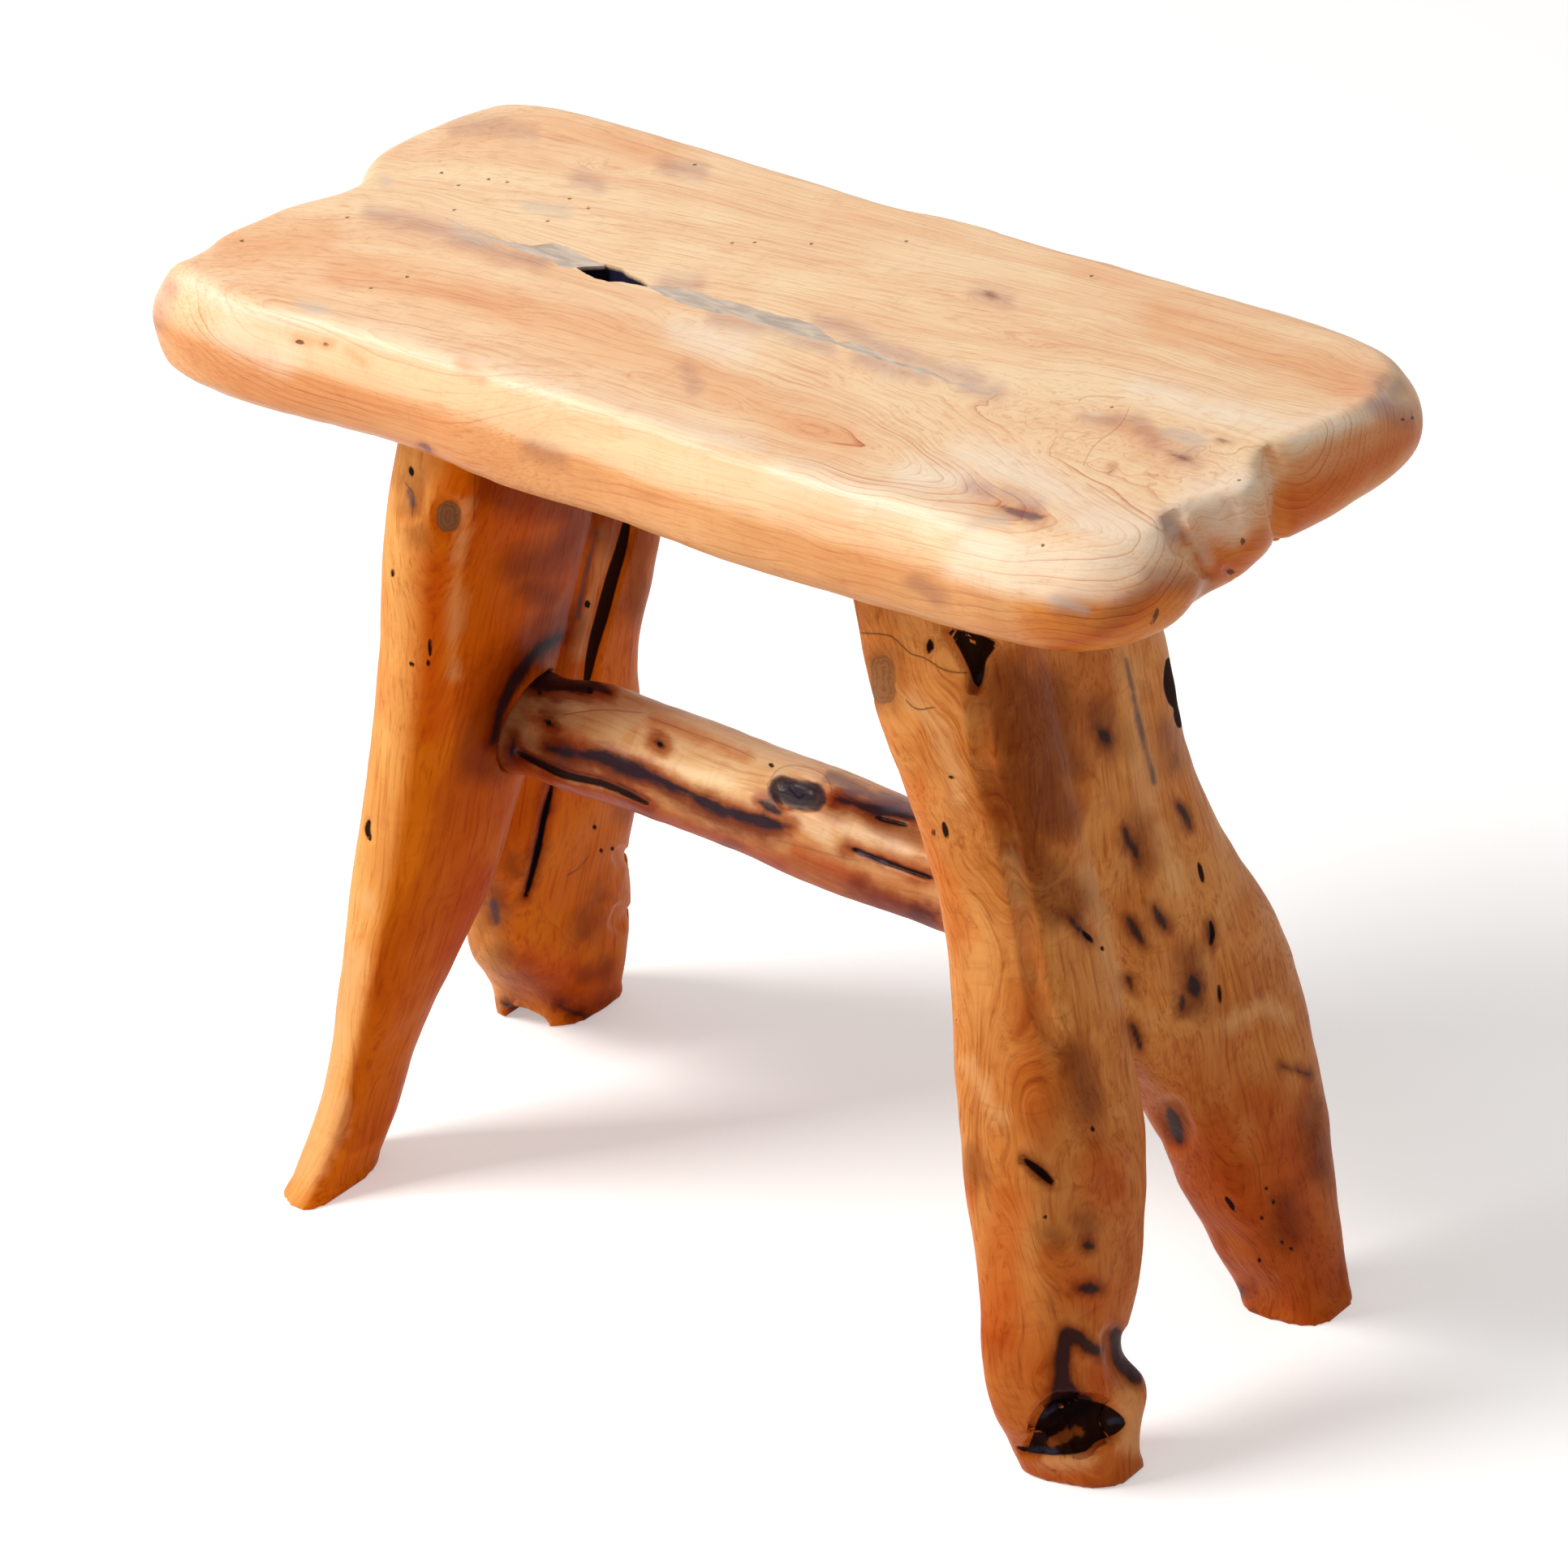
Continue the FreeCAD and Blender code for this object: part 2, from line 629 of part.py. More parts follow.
def foot_hollow():
    """The knot hollow that opens on the outer front corner of the right front foot."""
    leg = LEGS["right_leg"]
    level = size("foot_hollow_height") / UNDERSIDE
    middle, half_thick, half_deep, skew = section(leg, row_at(leg["forks"][0], level))
    out_share, rear_share = FOOT_HOLLOW_PLACE_SHARES
    turned = Rotation(Vector(0, 0, 1), FOOT_HOLLOW_TURN)
    tilted = Rotation(Vector(0, 1, 0), FOOT_HOLLOW_TILT)
    cutter = doc.addObject("Part::Ellipsoid", "foot_hollow")
    cutter.setExpression("Radius1", "Sizes.foot_hollow_rise / 2")
    cutter.setExpression("Radius2", "Sizes.foot_hollow_length / 2")
    cutter.setExpression("Radius3", "Sizes.foot_hollow_depth")
    place = middle + Vector(half_thick * out_share, half_deep * rear_share, 0)
    cutter.Placement = Placement(place, turned * tilted)
    return cutter


def build_leg(name, leg):
    """A whole leg: forks, holes, socket, mortise and the hollow in one of its feet."""
    hollow = toe_notch() if name == "left_leg" else foot_hollow()
    return cut_away(name, leg_blank(name, leg), leg_cuts(name, leg) + [hollow])


def build_seat():
    """The slab with its blind dowel holes below and its crack above."""
    cuts = []
    for name in DOWELS:
        place = dowel_place(name)
        place.z = UNDERSIDE - OVERRUN
        depth = "Sizes.dowel_in_seat + Sizes.dowel_end_gap"
        cuts.append(dowel_hole(name + "_seat_hole", place, depth, "Sizes.overrun"))
    cuts.append(feature("left_crack", crack_block(LEFT_RESIN_SHARES, size("crack_depth"))))
    cuts.append(feature("open_pocket", crack_block(POCKET_SHARES, size("pocket_depth"))))
    cuts.append(feature("right_crack", crack_block(RIGHT_RESIN_SHARES, size("crack_depth"))))
    return cut_away("seat_slab", feature("seat_blank", seat_blank()), cuts)


def build_resin(name, rows):
    """The clear filler cast into one stretch of the crack, level with the seat."""
    made = feature(name, crack_block(rows, size("crack_depth")))
    made.Label = name
    return made


def build_wedge(name, leg):
    """The fox wedge that spreads one tenon in its blind mortise."""
    made = feature(name, wedge_block(leg, LEGS[leg], size("wedge_width")))
    made.Label = name
    return made


def main():
    """Builds every piece, checks it and writes it to a file of its own."""
    pieces = [build_seat()]
    pieces.append(build_resin("crack_resin_left", LEFT_RESIN_SHARES))
    pieces.append(build_resin("crack_resin_right", RIGHT_RESIN_SHARES))
    pieces += [build_leg(name, leg) for name, leg in LEGS.items()]
    pieces.append(build_stretcher())
    pieces.append(build_wedge("stretcher_left_wedge", "left_leg"))
    pieces.append(build_wedge("stretcher_right_wedge", "right_leg"))
    pieces += [dowel(name) for name in DOWELS]
    doc.recompute()
    for made in doc.Objects:
        if "Invalid" in made.State or "Error" in made.State:
            raise RuntimeError(f"{made.Name} failed: {made.State}")
    os.makedirs("parts", exist_ok=True)
    for piece in pieces:
        shape = piece.Shape
        if shape.isNull() or not shape.isValid() or not shape.Solids:
            raise RuntimeError(f"{piece.Label} has no valid solid")
        shape.exportStep(f"parts/{piece.Label}.step")
        box = shape.BoundBox
        print(
            f"{piece.Label}: {len(shape.Solids)} solid, {len(shape.Faces)} faces,"
            f" {shape.Volume / 1000:.1f} cm3, x {box.XMin:.1f} {box.XMax:.1f},"
            f" y {box.YMin:.1f} {box.YMax:.1f}, z {box.ZMin:.1f} {box.ZMax:.1f}"
        )


main()
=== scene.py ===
# %% [markdown]
# # A rustic log bench in varnished wood
# The real bench is a thick slab with a live edge, on two forked log legs that are tied by a peeled
# pole. Its solids come ready made and could be shown as they are, but worked logs are never so
# clean. So each large piece gets a new skin, made from its own solid, and the notebook gives that
# skin what a tree and a maker leave behind: sanded waves, knots, drying cracks, bark pockets,
# resin in the crack, and satin varnish over rings that flow round the knots.

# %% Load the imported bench
import math

import bmesh
import bpy
import numpy as np
from mathutils import Matrix, Vector, noise
from mathutils.bvhtree import BVHTree


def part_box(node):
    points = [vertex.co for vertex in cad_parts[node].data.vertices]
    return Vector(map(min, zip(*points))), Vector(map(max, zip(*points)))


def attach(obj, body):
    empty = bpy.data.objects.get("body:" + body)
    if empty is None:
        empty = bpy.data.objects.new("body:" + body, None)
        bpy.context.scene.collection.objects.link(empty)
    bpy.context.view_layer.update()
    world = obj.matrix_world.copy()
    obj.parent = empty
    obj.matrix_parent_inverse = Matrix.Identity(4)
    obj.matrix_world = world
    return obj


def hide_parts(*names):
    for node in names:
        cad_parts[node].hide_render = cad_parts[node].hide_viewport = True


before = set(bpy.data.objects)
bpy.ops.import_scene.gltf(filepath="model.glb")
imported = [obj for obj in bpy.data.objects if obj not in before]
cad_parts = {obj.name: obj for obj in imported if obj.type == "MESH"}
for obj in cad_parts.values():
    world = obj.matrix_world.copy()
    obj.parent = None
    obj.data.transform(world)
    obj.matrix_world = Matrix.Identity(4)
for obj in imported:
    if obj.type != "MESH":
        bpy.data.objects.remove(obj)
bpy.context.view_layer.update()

MM = 0.001

# %% [markdown]
# ## The camera
# The picture was taken from the front right, well above the seat, with a long lens, so the bench
# hardly narrows with distance. The camera could be set by eye, but the marks on the wood are
# placed by pixels of the picture further down, so here it is written as an exact pinhole: an eye,
# the point that it looks at, a small roll, and a focal length in pixels of the 1932-pixel frame.

# %% The photograph's camera
FRAME_SIDE = 1932
FOCAL_PIXELS = 7500
SENSOR_MM = 36
EYE = np.array([1426.1, -1726.1, 1471.9])
AIM = np.array([16.2, -31.2, 250.0])
ROLL = math.radians(-2.7)

forward = (AIM - EYE) / np.linalg.norm(AIM - EYE)
level = np.cross(forward, (0, 0, 1))
level /= np.linalg.norm(level)
upright = np.cross(level, forward)
right = math.cos(ROLL) * level + math.sin(ROLL) * upright
up = math.cos(ROLL) * upright - math.sin(ROLL) * level
PIXELS_PER_MM = FOCAL_PIXELS / np.linalg.norm(AIM - EYE)

lens = bpy.data.cameras.new("camera")
lens.sensor_fit = "HORIZONTAL"
lens.sensor_width = SENSOR_MM
lens.lens = FOCAL_PIXELS * SENSOR_MM / FRAME_SIDE
lens.clip_end = 20
camera = bpy.data.objects.new("camera", lens)
axes = Matrix((right, up, -forward)).transposed().to_4x4()
camera.matrix_world = Matrix.Translation(EYE * MM) @ axes
bpy.context.scene.collection.objects.link(camera)
bpy.context.scene.camera = camera
print(f"lens {lens.lens:.1f} mm, {PIXELS_PER_MM:.2f} pixels to a millimetre at the bench")

# %% Between pixels and places
def in_picture(places):
    """The pixel of each place, and its depth from the eye in millimetres."""
    sight = places - EYE
    depth = sight @ forward
    across = FRAME_SIDE / 2 + FOCAL_PIXELS * (sight @ right) / depth
    down = FRAME_SIDE / 2 - FOCAL_PIXELS * (sight @ up) / depth
    return across, down, depth


def line_of_sight(px, py):
    """The direction from the eye through a pixel."""
    half = FRAME_SIDE / 2
    return forward + right * (px - half) / FOCAL_PIXELS - up * (py - half) / FOCAL_PIXELS


across, down, depth = in_picture(np.array([[0.0, 0.0, 450.0]]))
print(f"the middle of the seat is at pixel {across[0]:.0f}, {down[0]:.0f}, {depth[0]:.0f} mm away")

# %% [markdown]
# ## Working skins
# Smooth CAD faces have too few points to sculpt. They could be subdivided, but that leaves long
# thin faces round the holes. A voxel remesh turns a closed solid into an even net of small
# squares, and a few rounds of smoothing then blend its hard facets a little, as sanding does. The
# copy is merged first because a CAD mesh is loose triangles.

# %% A mesh's points as numbers
def points_of(piece):
    """The piece's vertices in millimetres, and their normals."""
    count = len(piece.data.vertices)
    places, normals = np.empty(count * 3), np.empty(count * 3)
    piece.data.vertices.foreach_get("co", places)
    piece.data.vertex_normals.foreach_get("vector", normals)
    return places.reshape(-1, 3) / MM, normals.reshape(-1, 3)


def move_points(piece, places):
    """Puts the piece's vertices at these places, in millimetres."""
    piece.data.vertices.foreach_set("co", (places * MM).ravel())
    piece.data.update()


def swells(places, length_mm, seed):
    """Smooth noise from about -1 to 1 at each place, with swells this many millimetres long."""
    shift = np.array([seed * 7.31, seed * 3.17, seed * 5.53])
    return np.array([noise.noise(Vector(p)) for p in places / length_mm + shift])


print("three heights of a 40 mm swell:", swells(20.0 * np.eye(3), 40, 1).round(2))

# %% A remeshed copy of a solid
def apply_modifiers(piece):
    """Replaces the piece's mesh by the one that its modifiers give."""
    bpy.context.view_layer.update()
    done = bpy.data.meshes.new_from_object(
        piece.evaluated_get(bpy.context.evaluated_depsgraph_get())
    )
    piece.modifiers.clear()
    piece.data = done
    done.name = piece.name


def working_skin(name, node_name, voxel_mm, filler=None, relax_rounds=4):
    """One closed skin of small even faces round a copy of the node, with the filler joined in."""
    shape = bmesh.new()
    shape.from_mesh(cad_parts[node_name].data)
    bmesh.ops.remove_doubles(shape, verts=shape.verts, dist=1e-6)
    if filler:
        shape.from_mesh(filler)
    rough = bpy.data.meshes.new(name + "_rough")
    shape.to_mesh(rough)
    shape.free()
    piece = bpy.data.objects.new(name, rough)
    bpy.context.scene.collection.objects.link(piece)
    net = piece.modifiers.new("net", "REMESH")
    net.mode = "VOXEL"
    net.voxel_size = voxel_mm * MM
    relax = piece.modifiers.new("relax", "SMOOTH")
    relax.factor = 0.5
    relax.iterations = relax_rounds
    apply_modifiers(piece)
    print(name, "has", len(piece.data.polygons), "faces")
    return piece


print("the slab's solid has", len(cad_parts["seat_slab"].data.polygons), "triangles")

# %% The last touches of a skin
def stay_inside(piece, node_name):
    """Brings every vertex back into the box of the solid that the piece stands for."""
    low, high = (np.array(corner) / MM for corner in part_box(node_name))
    places, _ = points_of(piece)
    move_points(piece, np.clip(places, low, high))


def smooth_shading(piece, sharp_degrees):
    """Smooth faces with hard edges only where two faces meet at more than this angle."""
    shape = bmesh.new()
    shape.from_mesh(piece.data)
    limit = math.radians(sharp_degrees)
    for face in shape.faces:
        face.smooth = True
    for edge in shape.edges:
        edge.smooth = edge.calc_face_angle(0.0) < limit
    shape.to_mesh(piece.data)
    shape.free()


low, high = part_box("seat_slab")
print("the slab is", [round((b - a) / MM) for a, b in zip(low, high)], "mm long, deep and high")

# %% [markdown]
# ## Marks placed by pixels
# Every knot, check and stain of this bench has its own place. It could be painted in an image, or
# left to noise, but an image is tied to one size, and noise puts no knot where the real one is.
# The surest way is to read the place off the picture. A mark is a stroke: a width and a few points
# in pixels. Rays from the camera find how deep the wood lies there, so a stroke marks only the
# face that shows it. The result is a distance in millimetres for every vertex, less than zero
# inside the mark. The sculpting uses it to press the wood in, and the materials draw soft or sharp
# edges by it.

# %% From strokes to lines on the wood
def flowing(pixels):
    """More pixels between the given ones, on a smooth curve through them all."""
    if len(pixels) < 3:
        return list(pixels)
    line = np.array([pixels[0], *pixels, pixels[-1]], float)
    curve = []
    for before, here, there, after in zip(line, line[1:], line[2:], line[3:]):
        for s in (0.0, 0.25, 0.5, 0.75):
            bend = (there - before) * s + (2 * before - 5 * here + 4 * there - after) * s ** 2
            curve.append(here + 0.5 * (bend + (3 * here - before - 3 * there + after) * s ** 3))
    return [tuple(point) for point in curve] + [tuple(pixels[-1])]


def on_wood(tree, pixels):
    """The pixels that have wood behind them, each with the wood's depth and the way into it."""
    found = []
    for px, py in pixels:
        hit, normal, _, _ = tree.ray_cast(Vector(EYE * MM), Vector(line_of_sight(px, py)))
        if hit is not None:
            found.append((px, py, (np.array(hit) / MM - EYE) @ forward, -np.array(normal)))
    return found


print("a stroke of 3 points flows through", len(flowing([(0, 0), (10, 5), (20, 0)])), "points")

# %% Beside one run of a stroke
def beside_run(start, end, across, down, depth):
    """How each point lies by a run of a stroke: the share of the run that it is level with, its
    distance from it in pixels, its side of it, and how far it is before or behind it."""
    run = np.array([end[0] - start[0], end[1] - start[1]])
    ahead = (across - start[0]) * run[0] + (down - start[1]) * run[1]
    share = np.clip(ahead / max(run @ run, 1e-6), 0, 1)
    away = np.hypot(across - start[0] - share * run[0], down - start[1] - share * run[1])
    which = np.sign(run[0] * (down - start[1]) - run[1] * (across - start[0]))
    step = np.abs(depth - start[2] - share * (end[2] - start[2]))
    return share, away, which, step


def crosses(start, end, across, down):
    """Which points have this run of an outline to their right. One that has an odd number of the
    outline's runs there is inside it."""
    rise = end[1] - start[1]
    if abs(rise) < 1e-6:
        return np.zeros(len(across), bool)
    beyond = across < start[0] + (down - start[1]) * (end[0] - start[0]) / rise
    return ((start[1] > down) != (end[1] > down)) & beyond


here, there = np.zeros(1), np.full(1, 20.0)
found = [bool(crosses((10, 0), (10, 9), x, here + 5)[0]) for x in (here, there)]
print("left and right of a run, is it crossed?", found)

# %% Distances to strokes
FAR_MM = 60.0
# Wood further than this behind a stroke is another face; it may slope away by SLOPE_ALLOWED
SAME_FACE_MM = 14.0
SLOPE_ALLOWED = 2.2
# An outline fades where the wood turns from the camera: at GRAZING (0 is edge on) it is gone
FADE_MM = 30.0
GRAZING = 0.1


def stroke_distance(piece, strokes, taper=0.0):
    """Millimetres to the nearest stroke's edge, the way into the wood there, and the side of its
    line as a number that grows from 0 on the line to 1 at the stroke's edge. A stroke of width 0
    is an outline, and all that it encloses belongs to it, as far as the wood faces the camera."""
    places, normals = points_of(piece)
    sight = places - EYE
    turned_away = (normals * sight).sum(1) / np.linalg.norm(sight, axis=1)
    across, down, depth = in_picture(places)
    tree = BVHTree.FromObject(piece, bpy.context.evaluated_depsgraph_get())
    nearest = np.full(len(places), FAR_MM)
    side = np.full(len(places), FAR_MM)
    inwards = np.zeros((len(places), 3))
    missed = 0
    for width, *pixels in strokes:
        line = flowing([*pixels, pixels[0]] if width == 0 else pixels)
        found = on_wood(tree, line)
        missed += len(line) - len(found)
        if len(found) == 1 or (found and width == 0):
            found.append(found[0])
        edge = np.full(len(places), FAR_MM)
        within = np.zeros(len(places), bool)
        for i, (start, end) in enumerate(zip(found, found[1:])):
            share, away, which, step = beside_run(start, end, across, down, depth)
            whole = (i + share) / (len(found) - 1)
            half_width = width / 2 * (1 - taper * np.abs(2 * whole - 1) ** 2)
            gap = (away - half_width) / PIXELS_PER_MM
            gap[step > SAME_FACE_MM + SLOPE_ALLOWED * away / PIXELS_PER_MM] = FAR_MM
            closer = gap < np.minimum(edge, nearest)
            edge = np.minimum(edge, gap)
            side[closer] = (which * away * 2 / max(width, 1))[closer]
            inwards[closer] = start[3] * 0.5 + end[3] * 0.5
            if width == 0:
                within ^= crosses(start, end, across, down)
        within &= edge < FAR_MM
        edge[within] = -np.minimum(edge, FADE_MM * (GRAZING - turned_away))[within]
        nearest = np.minimum(nearest, edge)
    if missed:
        print(piece.name, "has", missed, "points of strokes off its edge")
    return nearest, inwards, side


print(f"a stroke 10 pixels wide is {10 / PIXELS_PER_MM:.1f} mm wide on the bench")

# %% Carving along strokes
def press(piece, strokes, depth_mm, soft_mm, rough_mm=0.0, taper=0.0):
    """Presses the wood in under the strokes, or out for a depth below zero, fading over soft_mm."""
    gap, inwards, _ = stroke_distance(piece, strokes, taper)
    places, _ = points_of(piece)
    if rough_mm:
        near = gap < soft_mm * 2
        gap[near] += rough_mm * swells(places[near], 4, 11)
    amount = np.clip(1 - gap / soft_mm, 0, 1)
    amount = amount * amount * (3 - 2 * amount)
    move_points(piece, places + inwards * (depth_mm * amount)[:, None])


def carve(piece, cuts):
    """Makes each cut in turn: its strokes, depth, softness and, where it has them, the rest."""
    for strokes, *amounts in cuts:
        press(piece, strokes, *amounts)
    print(piece.name, "has", len(cuts), "cuts")


halfway = 3 * 0.5 ** 2 - 2 * 0.5 ** 3
print(f"half way out, a cut is {halfway:.2f} of its full depth")

# %% What each vertex keeps for the material
MARK_KINDS = (
    "check",   # open drying cracks and pin holes, nearly black
    "vein",    # hair-thin brown lines
    "knot",    # knots, with rings of their own
    "core",    # torn brown wood inside a hollow
    "burn",    # dark brown streaks and blots of old bark, and painted shadow round the pole's left end
    "haze",    # soft grey stains, and painted shade under the seat, round the pole's left end and by the crease
    "blue",    # blue grey patches, and a painted sheen on the rims of some hollows
    "pale",    # lighter patches, and painted highlights along lit edges
    "peach",   # pinker patches of the slab
    "ember",   # orange patches
    "bold",    # where the rings show strongly
    "facet",   # flats in a tone of their own: painted light on the slab's bevel, painted shade on the legs
    "rim",     # painted highlights along the burl's lit ridges
)
NARROW_ENDS = ("check", "burn", "vein")


def keep_number(piece, name, values):
    """Stores one number for each vertex, for the material to read."""
    layer = piece.data.attributes.new(name, "FLOAT", "POINT")
    layer.data.foreach_set("value", np.asarray(values, np.float32))


def keep_grain(piece, along, ring, across):
    """Stores where each vertex lies in the tree: along its fibres, across its rings and round."""
    layer = piece.data.attributes.new("grain", "FLOAT_VECTOR", "POINT")
    layer.data.foreach_set("vector", np.stack([along, ring, across], 1).astype(np.float32).ravel())


def keep_marks(piece, marks):
    """Stores the distance to each kind of mark."""
    for kind in MARK_KINDS:
        taper = 0.5 if kind in NARROW_ENDS else 0.0
        gap, _, side = stroke_distance(piece, marks.get(kind, []), taper)
        keep_number(piece, kind, gap)
        if kind == "vein":
            keep_number(piece, "vein_side", side)
    print(piece.name, "has", sum(len(strokes) for strokes in marks.values()), "marks")


print("kinds of marks:", len(MARK_KINDS))

# %% [markdown]
# ## The seat slab
# The real slab was sawn from the whole log, so its edge is the old bark line, rounded and sanded
# in waves, and the heart of the log dried into one long crack. The crack could be sculpted in, but
# a crack has a crisp lip. So the slab is made whole first, with the crack filled up, then
# sculpted, and the crack is cut at the end with a boolean, whose edge is as sharp as a knife's.
# The lips of the crack are read off the picture and laid on the slab's flat top.

# %% The lips of the crack
SEAT_TOP = 450.0
# The back lip and the front lip of each stretch, in pixels
LEFT_LIPS = (
    ((550, 268), (575, 279), (600, 288), (625, 297), (655, 303), (668, 301), (682, 300),
     (700, 304), (720, 315), (735, 322), (745, 326)),
    ((550, 270), (575, 281), (600, 292), (625, 302), (650, 312), (680, 320), (690, 328),
     (700, 331), (709, 329), (722, 328), (745, 327)),
)
POCKET_LIPS = (
    ((709, 327), (722, 326), (745, 325), (767, 330), (775, 337), (790, 343), (801, 352)),
    ((709, 329), (722, 338), (735, 343), (750, 347), (765, 347), (785, 351), (801, 354)),
)
RIGHT_LIPS = (
    ((798, 351), (835, 354), (855, 357), (880, 367), (900, 370), (930, 379), (960, 388),
     (980, 392), (1005, 400), (1018, 412), (1033, 422), (1050, 421), (1075, 430), (1100, 443),
     (1110, 447), (1135, 452), (1150, 458), (1170, 469), (1215, 479), (1235, 485)),
    ((798, 353), (820, 365), (850, 378), (880, 385), (900, 387), (920, 395), (950, 403),
     (975, 410), (1000, 417), (1033, 425), (1060, 436), (1085, 443), (1110, 451), (1130, 458),
     (1150, 462), (1170, 472), (1215, 482), (1235, 487)),
)


def on_seat(px, py):
    """Where the line of sight through a pixel meets the slab's top, along and across the seat."""
    ray = line_of_sight(px, py)
    return (EYE + ray * (SEAT_TOP - EYE[2]) / ray[2])[:2]


crack_start, crack_end = on_seat(*LEFT_LIPS[0][0]), on_seat(*RIGHT_LIPS[0][-1])
print(f"the crack is {crack_end[0] - crack_start[0]:.0f} mm long")

# %% Outlines with torn edges
TEAR_STEP_MM = 1.2   # from one point of the torn line to the next
TORN_MM = 0.45       # how far it strays
CALM_END_MM = 12     # it runs true this near to its ends, where two stretches meet


def torn_line(pixels, seed):
    """The pixels' places on the slab, joined by a finely torn line that is calm at its ends."""
    corners = np.array([on_seat(*pixel) for pixel in pixels])
    run = np.append(0, np.cumsum(np.hypot(*np.diff(corners, axis=0).T)))
    steps = np.linspace(0, run[-1], max(int(run[-1] / TEAR_STEP_MM), 2))
    line = np.column_stack([np.interp(steps, run, corners[:, i]) for i in (0, 1)])
    rows = np.column_stack([line, line[:, 0] * 0])
    calm = np.clip(np.minimum(steps, run[-1] - steps) / CALM_END_MM, 0, 1)
    line[:, 1] += TORN_MM * calm * (swells(rows, 5, seed) + 0.6 * swells(rows, 2.2, seed + 1))
    return [tuple(place) for place in line]


def crack_outline(lips):
    """Points round a stretch of the crack: along its front lip and back along the other."""
    back, front = lips
    return torn_line(front, 3) + torn_line(back, 5)[::-1]


print("the open pocket has", len(crack_outline(POCKET_LIPS)), "points round it")

# %% The uncut slab, with its crack plugged
PLUG_OUTLINE = ((-164, -24), (122, -24), (122, 1), (-164, 1))
PLUG_FLOOR = 418
SLAB_VOXEL_MM = 1.95


def prism(name, outline, low, high):
    """A closed block over the outline, from one height to the other, in millimetres."""
    shape = bmesh.new()
    floor = shape.faces.new([shape.verts.new((x * MM, y * MM, low * MM)) for x, y in outline])
    grown = bmesh.ops.extrude_face_region(shape, geom=[floor])
    risen = [g for g in grown["geom"] if isinstance(g, bmesh.types.BMVert)]
    bmesh.ops.translate(shape, verts=risen, vec=(0, 0, (high - low) * MM))
    bmesh.ops.remove_doubles(shape, verts=shape.verts, dist=1e-5)
    bmesh.ops.recalc_face_normals(shape, faces=shape.faces)
    mesh = bpy.data.meshes.new(name)
    shape.to_mesh(mesh)
    shape.free()
    return mesh


plug = prism("plug", PLUG_OUTLINE, PLUG_FLOOR, SEAT_TOP)
seat = working_skin("seat_wood", "seat_slab", SLAB_VOXEL_MM, plug, relax_rounds=2)

# %% [markdown]
# The old bark line is never even. Low swells run all round the edge, and the right end has a burl:
# a swollen lump with a deep fold beside it, where a branch once left the trunk. Noise alone would
# put such folds anywhere, so they are pressed in along strokes, as a gouge would do it.

# %% Sculpt the live edge and the burl
# The flat top and underside, whose normals stand upright, keep still; the edge moves
EDGE_STARTS, EDGE_SPAN = 0.985, 0.12
places, normals = points_of(seat)
sideways = np.clip((EDGE_STARTS - np.abs(normals[:, 2])) / EDGE_SPAN, 0, 1)
waves = 0.8 * swells(places, 42, 1) + 0.45 * swells(places, 15, 2)
move_points(seat, places + normals * ((waves - 0.35) * sideways)[:, None])
carve(seat, (
    # The deep fold beside the burl, the groove under it, and the groove's short branch
    ([(18, (1564, 552), (1573, 600), (1577, 640), (1572, 668))], 4.5, 4.0, 0.0, 1.5),
    ([(13, (1440, 636), (1462, 668), (1492, 708))], 3.4, 3.6, 0.0, 1.3),
    ([(18, (1448, 642), (1454, 672))], 2.4, 2.6),
    # The burl's second lobe stands out, with a dip beside it and two little holes
    ([(26, (1545, 612), (1548, 660))], -2.0, 8.0),
    ([(16, (1518, 626), (1503, 692))], 1.8, 5.0, 0.0, 1.4),
    ([(7, (1532, 664), (1532, 670)), (7, (1514, 703), (1518, 706))], 1.6, 2.0),
    # A scar near the front edge and a notch in the right end
    ([(6, (1232, 625), (1262, 632), (1284, 637))], 0.9, 2.0),
    ([(16, (1712, 474), (1722, 484))], 1.2, 3.0),
))
stay_inside(seat, "seat_slab")

# %% [markdown]
# ## Cutting the crack and pouring the resin
# On the real seat the crack was filled with clear resin, except for a short pocket. A boolean
# takes the crack out of the slab. The resin could be cut by a second boolean, but the same
# outlines give the two castings directly, level with the wood, so each fills its part of the crack
# exactly. Between them the crack is open and deeper, and its walls are painted near black: painted
# shade, tinted violet as a painted reflection.

# %% Cut the crack
CRACK_FLOOR = 430.0
POCKET_FLOOR = 424.0


def cut(piece, cutter_mesh):
    """Cuts the closed mesh out of the piece."""
    cutter = bpy.data.objects.new("cutter", cutter_mesh)
    bpy.context.scene.collection.objects.link(cutter)
    blade = piece.modifiers.new("blade", "BOOLEAN")
    blade.operation = "DIFFERENCE"
    blade.solver = "EXACT"
    blade.object = cutter
    apply_modifiers(piece)
    bpy.data.objects.remove(cutter)


# The cutters end at different heights above the top, so that no two of their faces meet
for name, lips, low, high in (
    ("left_crack", LEFT_LIPS, CRACK_FLOOR, SEAT_TOP + 4),
    ("right_crack", RIGHT_LIPS, CRACK_FLOOR, SEAT_TOP + 4),
    ("pocket", POCKET_LIPS, POCKET_FLOOR, SEAT_TOP + 5),
):
    cut(seat, prism(name, crack_outline(lips), low, high))
smooth_shading(seat, 48)
print("the slab now has", len(seat.data.polygons), "faces")

# %% Pour the resin
SHRINK_MM = 0.15


def pour(name, lips):
    """One casting of resin in its stretch of the crack, shrunk a hair below the slab's top."""
    mesh = prism(name, crack_outline(lips), CRACK_FLOOR, SEAT_TOP - SHRINK_MM)
    casting = bpy.data.objects.new(name, mesh)
    bpy.context.scene.collection.objects.link(casting)
    return casting


resin_left = pour("resin_left", LEFT_LIPS)
resin_right = pour("resin_right", RIGHT_LIPS)
for casting in (resin_left, resin_right):
    print(casting.name, "has", len(casting.data.vertices), "points")

